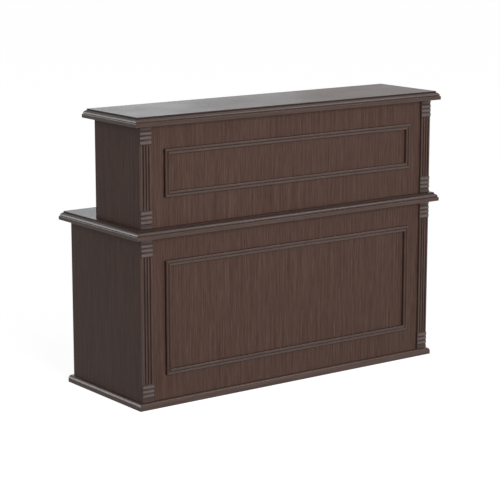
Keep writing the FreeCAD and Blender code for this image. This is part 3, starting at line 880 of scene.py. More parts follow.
class Bench:
    """Makes pieces, dresses them and sets them on the frame."""

    def __init__(self) -> None:
        """Builds the node trees that the pieces share."""
        self.trees = {"run": moulding_run(), "bore": bored_row(), "fit": fittings_on_points()}
        self.planks = itertools.count(1)

    def new_object(self, name: str, mesh: Mesh) -> Object:
        """Links a new object.

        Args:
            name: The object's name.
            mesh: The object's mesh.

        Returns:
            The object, at the origin.
        """
        made = bpy.data.objects.new(name, mesh)
        bpy.context.scene.collection.objects.link(made)
        return made

    def apply_tree(self, made: Object, tree: str, values: dict[str, object]) -> None:
        """Adds a node modifier and sets its inputs by identifier.

        Args:
            made: The object that gets the modifier.
            tree: Which of the bench's trees.
            values: Each named input's value.
        """
        modifier = made.modifiers.new(tree, "NODES")
        modifier.node_group = self.trees[tree]
        for item in self.trees[tree].interface.items_tree:
            if item.item_type == "SOCKET" and item.in_out == "INPUT" and item.name in values:
                modifier[item.identifier] = values[item.name]

    def plain_mesh(self, made: Object) -> Mesh:
        """Turns an object's modifiers into a plain mesh.

        Args:
            made: The object, which keeps no modifier.

        Returns:
            Its new mesh.
        """
        graph = bpy.context.evaluated_depsgraph_get()
        mesh = bpy.data.meshes.new_from_object(made.evaluated_get(graph))
        made.modifiers.clear()
        made.data = mesh
        return mesh

    def settle(self, made: Object, material: Material, place: Matrix = Matrix()) -> None:
        """Turns an object into a plain, dressed mesh in its place.

        Args:
            made: The object to settle.
            material: The material it wears.
            place: The matrix that is applied to the mesh.
        """
        mesh = self.plain_mesh(made)
        mesh.name = made.name
        mesh.transform(place)
        self.dress(mesh, material)

    def trim(self, mesh: Mesh, material: Material, wanted: Callable[[Vector], bool]) -> None:
        """Gives some faces of a piece a material of their own.

        Args:
            mesh: The piece's mesh, already dressed.
            material: The second material.
            wanted: Tells by a face's normal whether the face wears it.
        """
        mesh.materials.append(material)
        for face in mesh.polygons:
            if wanted(face.normal):
                face.material_index = 1

    def dress(self, mesh: Mesh, material: Material) -> None:
        """Gives a mesh its material, its own stretch of figure and smooth shading between sharp edges.

        Args:
            mesh: The mesh to dress.
            material: The material it wears.
        """
        mesh.materials.clear()
        mesh.materials.append(material)
        mesh.polygons.foreach_set("material_index", [0] * len(mesh.polygons))
        plank = mesh.attributes.get("plank") or mesh.attributes.new("plank", "FLOAT", "POINT")
        plank.data.foreach_set("value", [float(next(self.planks))] * len(mesh.vertices))
        mesh.shade_smooth()
        mesh.set_sharp_from_angle(angle=SHARP_ANGLE)
        mesh.update()

    def run(self, name: str, section: Section, place: Matrix, length: float, material: Material,
            mitres: Point2 = (0.0, 0.0), bores: tuple[Bores, ...] = (), ease: float = 0.0) -> Object:
        """Runs a section into a board, strip or block.

        Args:
            name: The piece's name.
            section: Its cross-section.
            place: The matrix of the run.
            length: Its length, at the section's origin.
            material: The material it wears.
            mitres: The slopes of its two ends.
            bores: The rows of holes or flutes cut in it.
            ease: The rounding of its ends.

        Returns:
            The piece.
        """
        outline = section.traced()
        mesh = bpy.data.meshes.new(name)
        mesh.from_pydata([(*point, 0.0) for point, _, _ in outline], [], [list(range(len(outline)))])
        # The arris weight sets wear and painted highlight; the hollow weight sets painted shade.
        for attribute, column in (("arris", 1), ("hollow", 2)):
            marked = mesh.attributes.new(attribute, "FLOAT", "POINT")
            marked.data.foreach_set("value", [row[column] for row in outline])
        made = self.new_object(name, mesh)
        self.apply_tree(made, "run", {"Length": length, "Start Mitre": mitres[0], "End Mitre": mitres[1],
                                      "Material": material})
        for row in bores:
            self.apply_tree(made, "bore", row.inputs() | {"Material": material})
        if ease:
            ease_ends(self.plain_mesh(made), length, ease)
        self.settle(made, material, place)
        return made

    def mitred(self, node: str, section: Section, up: Point3, runs: Border, mitres: Point2) -> None:
        """Makes the strips of a mitred border and sets them on the frame.

        Args:
            node: How the strips' CAD names begin.
            section: The strips' section.
            up: The direction of the section's second axis.
            runs: For each side: the section's first direction, its origin, the length and the material.
            mitres: The slopes of a strip's two ends.
        """
        for side, (across, at, length, material) in runs.items():
            place = axes(across, up, at)
            strip = self.run(f"{node}_{side}_strip", section, place, length, material, mitres)
            self.hand_over(strip, "wenge_moulding", f"{node}_{side}")

    def turned(self, name: str, profile: list[Point2], at: Point3, material: Material,
               facets: int = 64) -> Object:
        """Turns a profile round an upright axis.

        Args:
            name: The piece's name.
            profile: Radius and height of each point; a profile off the axis is closed into a ring.
            at: The axis's foot.
            material: The material it wears.
            facets: The number of facets round the axis.

        Returns:
            The piece.
        """
        mesh = bpy.data.meshes.new(name)
        build_turned(profile, facets).to_mesh(mesh)
        mesh.transform(Matrix.Translation(at))
        self.dress(mesh, material)
        return self.new_object(name, mesh)

    def fittings(self, name: str, shape: BMesh, spots: list[Spot],
                 material: Material) -> Object:
        """Sets one fitting on each spot.

        Args:
            name: The piece's name.
            shape: The fitting, along its own z axis.
            spots: Where the fittings sit.
            material: The material they wear.

        Returns:
            One piece that holds all the fittings.
        """
        pattern = bpy.data.meshes.new(f"{name}_pattern")
        shape.to_mesh(pattern)
        shape.free()
        template = self.new_object(f"{name}_pattern", pattern)
        points = bpy.data.meshes.new(name)
        points.from_pydata([spot.at for spot in spots], [], [])
        turn = points.attributes.new("turn", "FLOAT_VECTOR", "POINT")
        turn.data.foreach_set("vector", [angle for spot in spots for angle in spot.turn])
        made = self.new_object(name, points)
        self.apply_tree(made, "fit", {"Fitting": template, "Scale": 1.0, "Material": material})
        self.settle(made, material)
        bpy.data.objects.remove(template)
        return made

    def hand_over(self, made: Object, slot: str, *nodes: str, body: str = ROOT_BODY) -> None:
        """Sets a piece on the frame in place of CAD nodes.

        Args:
            made: The piece.
            slot: A material slot's name; not used.
            nodes: The CAD nodes that it stands for.
            body: The CAD body that it rides on.
        """
        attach(made, body)
        if nodes:
            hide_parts(*nodes)
        log.info("%s: %d faces on %s", made.name, len(made.data.polygons), body)

    def dress_node(self, node: str, material: Material) -> None:
        """Gives a CAD node that stays a better material.

        Args:
            node: The node's name.
            material: The material it wears.
        """
        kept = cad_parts[node]
        for slot in kept.material_slots:
            slot.material = material
        log.info("%s: kept from the CAD model", node)


def ease_ends(mesh: Mesh, length: float, ease: float) -> None:
    """Rounds the rim of both ends of a run that lies along z.

    Args:
        mesh: The run's mesh.
        length: The run's length.
        ease: The rounding.
    """
    shape = bmesh.new()
    shape.from_mesh(mesh)

    def flat_ends() -> list[bmesh.types.BMFace]:
        """The faces that lie in the planes of the two ends."""
        return [face for face in shape.faces
                if all(min(abs(v.co.z), abs(v.co.z - length)) < TINY for v in face.verts)]

    rims = {edge for face in flat_ends() for edge in face.edges}
    bmesh.ops.bevel(shape, geom=list(rims), offset=ease, segments=2, profile=0.5, affect="EDGES",
                    clamp_overlap=True)
    plain = flat_ends()
    bmesh.ops.inset_individual(shape, faces=plain, thickness=ease, use_even_offset=True)
    for layer in (shape.verts.layers.float["arris"], shape.verts.layers.float["hollow"]):
        for vert in {vert for face in plain for vert in face.verts}:
            vert[layer] = 0.0
    shape.to_mesh(mesh)
    shape.free()


def build_turned(profile: list[Point2], facets: int) -> BMesh:
    """Turns a profile round z.

    Args:
        profile: Radius and height of each point; it is closed unless it starts on the axis.
        facets: The number of facets round the axis.

    Returns:
        The turned shape.
    """
    shape = bmesh.new()
    points = [shape.verts.new((radius, 0.0, height)) for radius, height in profile]
    pairs = list(zip(points, points[1:]))
    if profile[0][0] > 0:
        pairs.append((points[-1], points[0]))
    edges = [shape.edges.new(pair) for pair in pairs]
    bmesh.ops.spin(shape, geom=points + edges, cent=(0, 0, 0), axis=(0, 0, 1), angle=math.tau, steps=facets,
                   use_duplicate=False)
    bmesh.ops.remove_doubles(shape, verts=shape.verts, dist=TINY)
    bmesh.ops.recalc_face_normals(shape, faces=shape.faces)
    return shape


def rounded(radius: float, curve: tuple[Point2, ...]) -> list[Point2]:
    """The points of a turned rim.

    Args:
        radius: The rim's radius.
        curve: Each point's inset from that radius and its height, in millimetres.

    Returns:
        Radius and height of each point.
    """
    return [(radius - inset * MM, height * MM) for inset, height in curve]


# Sub-assemblies

@dataclass
class Assembly:
    """One sub-assembly of the desk: where its pieces are made, and what they wear."""

    bench: Bench
    finishes: Finishes

    def build(self) -> None:
        """Makes the pieces and sets them on the frame."""
        raise NotImplementedError


# The tops

@dataclass
class MouldedTop(Assembly):
    """A flat top inside four mitred strips, planted a little below its face."""

    name: str
    outlets: tuple[Point2, ...] = ()
    outlet_diameter: float = 60 * MM
    reach: float = 15 * MM
    nose: float = 16.5 * MM
    nose_ease: float = 2.2 * MM
    quirk_height: float = 3 * MM
    quirk_depth: float = 4.5 * MM
    shoulder: float = 2.6 * MM
    swell: float = 2 * MM
    drop: float = 6 * MM
    foot_ease: float = 1.2 * MM
    glaze_spread: float = 4.5 * MM
    arris: float = 1.0 * MM
    mitre_gap: float = 0.06 * MM

    def section(self, thickness: float) -> Section:
        """The edge strip's section, outwards and up from the core's lower edge.

        Args:
            thickness: The core's thickness.

        Returns:
            The section.
        """
        floor = self.reach - self.quirk_depth
        ledge = self.nose + self.quirk_height
        return Section(
            corners=((0.0, 0.0), (self.reach, 0.0), (self.reach, self.nose), (floor, self.nose),
                     (floor, ledge), (self.reach - self.shoulder, ledge), (0.0, thickness - self.drop)),
            eases={1: self.foot_ease, 2: self.nose_ease},
            # Painted shade lies in the quirk and where the strip meets the core's face.
            bows={5: self.swell}, glaze={6: 1.0}, spread=self.glaze_spread)

    def build(self) -> None:
        """Makes the core and its four strips."""
        low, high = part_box(f"{self.name}_core")
        self.build_core(low, high)
        gap = self.mitre_gap
        wide, deep = high.x - low.x - 2 * gap, high.y - low.y - 2 * gap
        x, y = self.finishes.moulding_x, self.finishes.moulding_y
        runs = {
            "back": ((0, 1, 0), (low.x + gap, high.y, low.z), wide, x),
            "left": ((-1, 0, 0), (low.x, low.y + gap, low.z), deep, y),
            "front": ((0, -1, 0), (high.x - gap, low.y, low.z), wide, x),
            "right": ((1, 0, 0), (high.x, high.y - gap, low.z), deep, y),
        }
        self.bench.mitred(f"{self.name}_edge", self.section(high.z - low.z), UP, runs, (-1.0, 1.0))

    def build_core(self, low: Vector, high: Vector) -> None:
        """Makes the flat board with its eased edges and its cable holes.

        Args:
            low: The core's lowest corner.
            high: The core's highest corner.
        """
        mesh = bpy.data.meshes.new(f"{self.name}_core_board")
        eased_board(low, high, self.arris).to_mesh(mesh)
        made = self.bench.new_object(f"{self.name}_core_board", mesh)
        for x, y in self.outlets:
            row = Bores(1, (x, y, (low.z + high.z) / 2), ZERO, self.outlet_diameter, 2 * (high.z - low.z),
                        facets=72)
            self.bench.apply_tree(made, "bore", row.inputs() | {"Material": self.finishes.top})
        self.bench.settle(made, self.finishes.top)
        # The upright edge faces take the near-black edging finish, which is painted shade.
        self.bench.trim(made.data, self.finishes.edging, lambda normal: abs(normal.z) < SQUARE)
        self.bench.hand_over(made, "wenge_top", f"{self.name}_core")


def eased_board(low: Vector, high: Vector, ease: float, margin: float = 3 * MM) -> BMesh:
    """A board whose edges are all rounded, with its edges marked for rubbing and a painted highlight.

    Args:
        low: The lowest corner.
        high: The highest corner.
        ease: The edges' radius.
        margin: How far the rubbing and painted highlight reach from an edge.

    Returns:
        The board.
    """
    shape = bmesh.new()
    bmesh.ops.create_cube(shape, size=1.0)
    size = high - low
    for vert in shape.verts:
        vert.co = low + Vector(part * (at + 0.5) for part, at in zip(size, vert.co))
    bmesh.ops.bevel(shape, geom=shape.edges[:], offset=ease, segments=4, profile=0.5, affect="EDGES",
                    clamp_overlap=True)
    faces = sorted(shape.faces, key=lambda face: face.calc_area())[-6:]
    weights = shape.verts.layers.float.new("arris")
    for vert in shape.verts:
        vert[weights] = 1.0
    bmesh.ops.inset_individual(shape, faces=faces, thickness=margin, use_even_offset=True)
    for face in faces:
        for vert in face.verts:
            vert[weights] = 0.0
    return shape


# The plinth

@dataclass
class Plinth(Assembly):
    """Three rails under the carcass, mitred at the front corners, bored for the levelling glides."""

    width: float = 80 * MM
    height: float = 29.5 * MM
    reach: float = 19 * MM
    rounding: float = 14.5 * MM
    foot_ease: float = 1.0 * MM
    recess_diameter: float = 29.2 * MM
    recess_depth: float = 5 * MM
    sleeve_diameter: float = 12.2 * MM
    sleeve_depth: float = 22 * MM
    glide_places: Point2 = (-120 * MM, 150 * MM)
    mitre_gap: float = 0.06 * MM

    def build(self) -> None:
        """Makes the three rails."""
        low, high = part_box("plinth_front")
        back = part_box("plinth_left")[1].y
        section = Section(
            corners=((0.0, 0.0), (self.width, 0.0), (self.width, self.height),
                     (self.width - self.reach, self.height), (0.0, self.height)),
            # Painted shade lies where the rail's top meets the panel.
            eases={1: self.foot_ease, 2: self.rounding}, glaze={3: 0.9}, margin=2 * MM, spread=2 * MM)
        inner_x, inner_y = high.x - self.width, low.y + self.width
        gap = self.mitre_gap
        place = axes((0, -1, 0), UP, (inner_x - gap, inner_y, 0))
        front = self.bench.run("plinth_front_rail", section, place, 2 * (inner_x - gap),
                               self.finishes.moulding_x, (-1.0, 1.0))
        self.bench.hand_over(front, "wenge_moulding", "plinth_front")
        length = back - inner_y - gap
        for side in Side:
            if side is Side.LEFT:
                place = axes((-1, 0, 0), UP, (-inner_x, inner_y + gap, 0))
                starts, mitres = [y - inner_y - gap for y in self.glide_places], (-1.0, 0.0)
            else:
                place = axes((1, 0, 0), UP, (inner_x, back, 0))
                starts, mitres = [back - y for y in self.glide_places], (0.0, 1.0)
            rail = self.bench.run(f"plinth_{side.word}_rail", section, place, length,
                                  self.finishes.moulding_y, mitres, self.recesses(starts))
            self.bench.hand_over(rail, "wenge_moulding", f"plinth_{side.word}")

    def recesses(self, starts: list[float]) -> tuple[Bores, ...]:
        """The rows that are bored for the glides' pads and sleeves.

        Args:
            starts: Where the glides sit along the rail.

        Returns:
            The two rows.
        """
        first = (self.width / 2, 0.0, starts[0])
        pitch = (0.0, 0.0, starts[1] - starts[0])
        tilt = (QUARTER_TURN, 0.0, 0.0)
        return (Bores(2, first, pitch, self.recess_diameter, 2 * self.recess_depth, tilt, 48),
                Bores(2, first, pitch, self.sleeve_diameter, 2 * self.sleeve_depth, tilt, 32))


# The carcass

@dataclass
class Carcass(Assembly):
    """The side boards and front panel of one tier, and the edging on the staff's side."""

    tier: Tier
    arris: float = 0.8 * MM
    edging: float = 1.2 * MM
    seam: float = 0.25 * MM
    pin_rows: tuple[float, ...] = ()
    pin_height: float = 953.5 * MM
    pin_count: int = 9
    pin_pitch: float = 32 * MM
    pin_diameter: float = 5.2 * MM
    pin_depth: float = 10 * MM

    def build(self) -> None:
        """Makes the side boards and dresses the front panel."""
        for side in Side:
            node = f"{self.tier.value}_side_{side.word}"
            low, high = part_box(node)
            inner = high.x - low.x if side is Side.LEFT else 0.0
            bores = tuple(self.pin_holes(inner, y - low.y, low.z) for y in self.pin_rows)
            section = self.banded(high.x - low.x, high.y - low.y)
            board = self.bench.run(f"{node}_board", section, axes((1, 0, 0), (0, 1, 0), low), high.z - low.z,
                                   self.finishes.panel, bores=bores)
            self.bench.hand_over(board, "wenge_panel", node)
        self.bench.dress_node(f"{self.tier.value}_front", self.finishes.panel)

    def pin_holes(self, face: float, deep: float, foot: float) -> Bores:
        """An upright row of shelf-pin holes.

        Args:
            face: The bored face's place across the board.
            deep: The row's place along the board's depth.
            foot: The board's lower end.

        Returns:
            The row.
        """
        start = self.pin_height - foot - self.pin_pitch * (self.pin_count // 2)
        return Bores(self.pin_count, (face, deep, start), (0.0, 0.0, self.pin_pitch), self.pin_diameter,
                     2 * self.pin_depth, (0.0, QUARTER_TURN, 0.0), 20)

    def banded(self, thickness: float, depth: float) -> Section:
        """A board's section with an edging strip on its far edge.

        Args:
            thickness: Along the section's first axis.
            depth: Along its second axis.

        Returns:
            The section.
        """
        line, seam, ease = depth - self.edging, self.seam, self.arris
        corners = ((0.0, 0.0), (thickness, 0.0), (thickness, line - seam),
                   (thickness - seam / 2, line - seam / 2), (thickness, line), (thickness, depth),
                   (0.0, depth), (0.0, line), (seam / 2, line - seam / 2), (0.0, line - seam))
        return Section(corners, eases={0: ease, 1: ease, 5: ease, 6: ease}, margin=2 * MM)


# The pilasters

@dataclass
class Pilaster(Assembly):
    """A fluted shaft between a ribbed base and capital."""

    tier: Tier
    side: Side
    gap_height: float = 5 * MM
    gap_depth: float = 7 * MM
    flare_height: float = 15 * MM
    flare_depth: float = 14 * MM
    flare_sink: float = 1 * MM
    neck: float = 9 * MM
    rib_height: float = 18 * MM
    rib_rise: float = 3.2 * MM
    roll_height: float = 20 * MM
    roll_rise: float = 3.8 * MM
    flute_width: float = 6.6 * MM
    flute_pitch: float = 13.4 * MM
    flute_count: int = 3
    flute_lift: float = 0.12 * MM
    flute_overrun: float = 20 * MM
    block_ease: float = 0.5 * MM
    shaft_ease: float = 1.0 * MM

    def block_section(self) -> Section:
        """The section of a base, forwards and up from its foot.

        Returns:
            The section.
        """
        flare_top = self.gap_height + self.flare_height
        first_rib = flare_top + self.rib_height
        second_rib = first_rib + self.rib_height
        top = second_rib + self.roll_height
        return Section(
            corners=((0.0, 0.0), (self.gap_depth, 0.0), (self.gap_depth, self.gap_height),
                     (self.flare_depth, self.gap_height), (self.neck, flare_top), (self.neck, first_rib),
                     (self.neck, second_rib), (self.neck, top), (0.0, top)),
            bows={3: -self.flare_sink, 4: self.rib_rise, 5: self.rib_rise, 6: self.roll_rise},
            # Painted shade lies in the foot gap, in the valleys between flare, ribs and roll, and where the
            # shaft starts; the rib and roll crowns carry a painted highlight that also stands for wear.
            glaze={1: 1.0, 2: 1.0, 4: 0.8, 5: 0.9, 6: 1.0, 7: 0.8}, spread=5 * MM)

    def build(self) -> None:
        """Makes the base, the capital and the shaft."""
        name = f"{self.tier.value}_{self.side.word}_pilaster"
        for end, up in (("base", 1), ("capital", -1)):
            low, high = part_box(f"{name}_{end}")
            start = (high.x, high.y, low.z) if up > 0 else (low.x, high.y, high.z)
            block = self.bench.run(f"{name}_{end}_block", self.block_section(),
                                   axes((0, -1, 0), (0, 0, up), start), high.x - low.x, self.finishes.block,
                                   ease=self.block_ease)
            self.bench.trim(block.data, self.finishes.panel, lambda normal: abs(normal.x) > SQUARE)
            self.bench.hand_over(block, "wenge_moulding", f"{name}_{end}")
        self.build_shaft(f"{name}_shaft")

    def build_shaft(self, node: str) -> None:
        """Makes the fluted shaft.

        Args:
            node: The CAD node that it stands for.
        """
        low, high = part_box(node)
        width, depth, length = high - low
        section = Section(corners=((0.0, -depth), (width, -depth), (width, 0.0), (0.0, 0.0)),
                          eases={0: self.shaft_ease, 1: self.shaft_ease}, margin=1.2 * MM)
        first = width / 2 - self.flute_pitch * (self.flute_count - 1) / 2
        flutes = Bores(self.flute_count, (first, -depth - self.flute_lift, length / 2),
                       (self.flute_pitch, 0.0, 0.0), self.flute_width, length + self.flute_overrun,
                       facets=40)
        place = axes((1, 0, 0), (0, 1, 0), (low.x, high.y, low.z))
        shaft = self.bench.run(f"{node}_stave", section, place, length, self.finishes.moulding_z,
                               bores=(flutes,))
        self.bench.hand_over(shaft, "wenge_moulding", node)


# The applied frames

@dataclass
class AppliedFrame(Assembly):
    """Four mitred double-bead strips on a front panel."""

    tier: Tier
    bead: float = 10.25 * MM
    rise: float = 3 * MM
    channel: float = 3 * MM
    lip: float = 10.5 * MM
    mitre_gap: float = 0.06 * MM

    def section(self) -> Section:
        """The strip's section, inwards and forwards from its outer edge.

        Returns:
            The section.
        """
        second = self.bead + self.channel
        width = second + self.bead
        return Section(corners=((0.0, 0.0), (width, 0.0), (width, self.lip), (second, self.lip),
                                (self.bead, self.lip), (0.0, self.lip)),
                       # Painted shade lies along the strip's back edges where they meet the panel and in the
                       # channel between the beads; the bead crowns carry a painted highlight that also stands
                       # for wear.
                       bows={2: self.rise, 4: self.rise}, glaze={0: 0.8, 1: 0.4, 3: 0.7, 4: 0.7},
                       spread=4 * MM)

    def build(self) -> None:
        """Makes the four strips."""
        name = f"{self.tier.value}_frame"
        low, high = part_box(f"{name}_left")[0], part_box(f"{name}_right")[1]
        gap, back = self.mitre_gap, high.y
        wide, tall = high.x - low.x - 2 * gap, high.z - low.z - 2 * gap
        x, z = self.finishes.moulding_x, self.finishes.frame_z
        runs = {
            "bottom": ((0, 0, 1), (low.x + gap, back, low.z), wide, x),
            "left": ((1, 0, 0), (low.x, back, high.z - gap), tall, z),
            "top": ((0, 0, -1), (high.x - gap, back, high.z), wide, x),
            "right": ((-1, 0, 0), (high.x, back, low.z + gap), tall, z),
        }
        self.bench.mitred(name, self.section(), (0, -1, 0), runs, (1.0, -1.0))


# The staff's shelving

@dataclass
class StaffShelving(Assembly):
    """An upright in the middle of the upper tier with a shelf on each side, on pins."""

    carcass: Carcass
    pin_radius: float = 2.5 * MM
    pin_length: float = 8 * MM
    pin_point: float = 0.4 * MM
    pin_nose: float = 0.5 * MM
    collar_radius: float = 3.6 * MM
    collar: float = 0.8 * MM
    divider_bore_share: float = 0.7

    def build(self) -> None:
        """Makes the upright, the shelves and their pins."""
        low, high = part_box("divider")
        width = high.x - low.x
        bores = []
        for face in (0.0, width):
            for y in self.carcass.pin_rows:
                row = self.carcass.pin_holes(face, y - low.y, low.z)
                bores.append(replace(row, depth=row.depth * self.divider_bore_share))
        upright = self.bench.run("divider_board", self.carcass.banded(width, high.y - low.y),
                                 axes((1, 0, 0), (0, 1, 0), low), high.z - low.z, self.finishes.panel,
                                 bores=tuple(bores))
        self.bench.hand_over(upright, "wenge_panel", "divider")
        for side in Side:
            self.build_shelf(f"shelf_{side.word}")
        self.build_pins(low.x, high.x)

    def build_shelf(self, node: str) -> None:
        """Makes one shelf with its edging.

        Args:
            node: The CAD node that it stands for.
        """
        low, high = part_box(node)
        board = self.bench.run(f"{node}_board", self.carcass.banded(high.z - low.z, high.y - low.y),
                               axes((0, 0, -1), (0, 1, 0), (low.x, low.y, high.z)), high.x - low.x,
                               self.finishes.shelf)
        self.bench.hand_over(board, "wenge_panel", node)

    def build_pins(self, left: float, right: float) -> None:
        """Makes the shelf pins in the sides and the upright.

        Args:
            left: The upright's left face.
            right: The upright's right face.
        """
        low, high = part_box("lower_front")
        length, radius, collar = self.pin_length, self.pin_radius, self.collar_radius
        point, nose = self.pin_point, self.pin_nose
        profile = [(0.0, -length), (radius - point, -length), (radius, -length + point), (radius, 0.0),
                   (collar, 0.0), (collar, self.collar), (radius, self.collar), (radius, length - nose),
                   (radius - nose, length), (0.0, length)]
        spots = []
        for y in self.carcass.pin_rows:
            for face, out in ((low.x, 1), (left, -1), (right, 1), (high.x, -1)):
                spots.append(Spot.facing((face, y, self.carcass.pin_height), (out, 0, 0)))
        pins = self.bench.fittings("shelf_pin_set", build_turned(profile, 24), spots, self.finishes.steel)
        self.bench.hand_over(pins, "steel", "shelf_pins")


# The fixings

def cross_head(profile: list[Point2], reach: float, width: float, depth: float, facets: int = 24,
               taper: float = 0.7) -> BMesh:
    """A turned head with a cross recess in its flat top.

    Args:
        profile: Radius and height from the foot's middle to the flat top's rim.
        reach: The recess's half length.
        width: The recess's half width.
        depth: The recess's depth.
        facets: The number of facets round the head.
        taper: The size of the recess's floor, as a share of its mouth.

    Returns:
        The head, along z.
    """
    shape = build_turned(profile, facets)
    top = profile[-1][1]
    rim = [edge for edge in shape.edges if len(edge.link_faces) == 1]
    cross = [(reach, -width), (reach, width), (width, width), (width, reach), (-width, reach),
             (-width, width), (-reach, width), (-reach, -width), (-width, -width), (-width, -reach),
             (width, -reach), (width, -width)]
    upper = [shape.verts.new((x, y, top)) for x, y in cross]
    lower = [shape.verts.new((taper * x, taper * y, top - depth)) for x, y in cross]
    loop = [shape.edges.new((upper[index - 1], upper[index])) for index in range(len(cross))]
    for index in range(len(cross)):
        shape.faces.new((upper[index - 1], lower[index - 1], lower[index], upper[index]))
    shape.faces.new(lower)
    bmesh.ops.triangle_fill(shape, use_beauty=True, edges=rim + loop)
    bmesh.ops.recalc_face_normals(shape, faces=shape.faces)
    return shape


@dataclass
class Fixings(Assembly):
    """The knock-down fittings: brackets, their screws, cams, bolts and dowels."""

    leg: float = 40 * MM
    width: float = 20 * MM
    gauge: float = 2.5 * MM
    bend_outside: float = 3.0 * MM
    bend_inside: float = 0.8 * MM
    tip_rounding: float = 4 * MM
    screw_offset: float = 26 * MM
    screw_radius: float = 4.0 * MM
    screw_curve: tuple[Point2, ...] = (
        (4.0, -16.5), (3.5, -16.0), (2.0, -12.0), (2.0, 0.0), (0.0, 0.0), (0.0, 0.7), (0.3, 1.4), (0.9, 1.9),
        (1.6, 2.2))
    screw_recess: Point3 = (1.9 * MM, 0.45 * MM, 1.3 * MM)
    cam_radius: float = 7.5 * MM
    cam_curve: tuple[Point2, ...] = (
        (7.5, -14.0), (0.0, -14.0), (0.0, -1.6), (0.5, -1.4), (0.5, -1.1), (0.0, -0.9), (0.0, -0.5),
        (0.5, 0.0))
    cam_recess: Point3 = (4.2 * MM, 0.9 * MM, 3.0 * MM)
    cam_inset: float = 34 * MM
    cam_end_inset: float = 90 * MM
    lower_bracket_y: Point2 = (-130 * MM, 130 * MM)
    upper_bracket_y: float = -101.5 * MM
    front_bracket_x: Point2 = (-350 * MM, 350 * MM)

    def corners(self) -> list[tuple[Vector, Vector]]:
        """Where the brackets sit.

        Returns:
            Each bracket's corner and the direction that it faces.
        """
        found = []
        for tier, places in ((Tier.LOWER, self.lower_bracket_y), (Tier.UPPER, (self.upper_bracket_y,))):
            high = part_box(f"{tier.value}_front")[1]
            for side in Side:
                found += [(Vector((side.value * high.x, y, high.z)), Vector((-side.value, 0, 0)))
                          for y in places]
            found += [(Vector((x, high.y, high.z)), Vector((0, 1, 0))) for x in self.front_bracket_x]
        return found

    def build(self) -> None:
        """Makes the fittings that show and dresses those that don't."""
        corners = self.corners()
        self.build_brackets(corners)
        self.build_screws(corners)
        self.build_cams()
        self.bench.dress_node("dowels", self.finishes.beech)
        self.bench.dress_node("cam_bolts", self.finishes.steel)
        self.bench.dress_node("glide_inserts", self.finishes.brass)

    def build_brackets(self, corners: list[tuple[Vector, Vector]]) -> None:
        """Makes the pressed angle brackets.

        Args:
            corners: Each bracket's corner and the direction that it faces.
        """
        leg, gauge = self.leg, self.gauge
        section = Section(
            corners=((0.0, 0.0), (0.0, -leg), (gauge, -leg), (gauge, -gauge), (leg, -gauge), (leg, 0.0)),
            eases={0: self.bend_outside, 3: self.bend_inside}, margin=1.0 * MM)
        place = axes((1, 0, 0), UP, (0.0, self.width / 2, 0.0))
        pattern = self.bench.run("bracket_pattern", section, place, self.width, self.finishes.zinc)
        shape = bmesh.new()
        shape.from_mesh(pattern.data)
        bpy.data.objects.remove(pattern)
        tips = [edge for edge in shape.edges
                if all(max(abs(v.co.x), abs(v.co.z)) > leg - TINY for v in edge.verts)
                and all(abs(abs(v.co.y) - self.width / 2) < TINY for v in edge.verts)
                and edge.calc_length() < 1.01 * gauge]
        bmesh.ops.bevel(shape, geom=tips, offset=self.tip_rounding, segments=5, profile=0.5, affect="EDGES")
        spots = [Spot(tuple(corner), Euler((0.0, 0.0, math.atan2(out.y, out.x))))
                 for corner, out in corners]
        made = self.bench.fittings("angle_bracket_set", shape, spots, self.finishes.zinc)
        self.bench.hand_over(made, "zinc", "angle_brackets")

    def build_screws(self, corners: list[tuple[Vector, Vector]]) -> None:
        """Makes the two screws of every bracket.

        Args:
            corners: Each bracket's corner and the direction that it faces.
        """
        spots = []
        for corner, out in corners:
            under = corner + out * self.screw_offset + Vector((0, 0, -self.gauge))
            beside = corner + out * self.gauge + Vector((0, 0, -self.screw_offset))
            spots += [Spot.facing(tuple(under), (0, 0, -1)), Spot.facing(tuple(beside), tuple(out))]
        head = cross_head(rounded(self.screw_radius, self.screw_curve), *self.screw_recess)
        made = self.bench.fittings("bracket_screw_set", head, spots, self.finishes.steel)
        self.bench.hand_over(made, "steel", "bracket_screws")

    def build_cams(self) -> None:
        """Makes the cams in the front panels' backs."""
        spots = []
        for tier in Tier:
            low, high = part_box(f"{tier.value}_front")
            for side in Side:
                for z in (low.z + self.cam_end_inset, high.z - self.cam_end_inset):
                    at = (side.value * (high.x - self.cam_inset), high.y, z)
                    spots.append(Spot.facing(at, (0, 1, 0)))
        head = cross_head(rounded(self.cam_radius, self.cam_curve), *self.cam_recess, 32)
        made = self.bench.fittings("cam_set", head, spots, self.finishes.zinc)
        self.bench.hand_over(made, "zinc", "cams")


# The cable outlets and glides

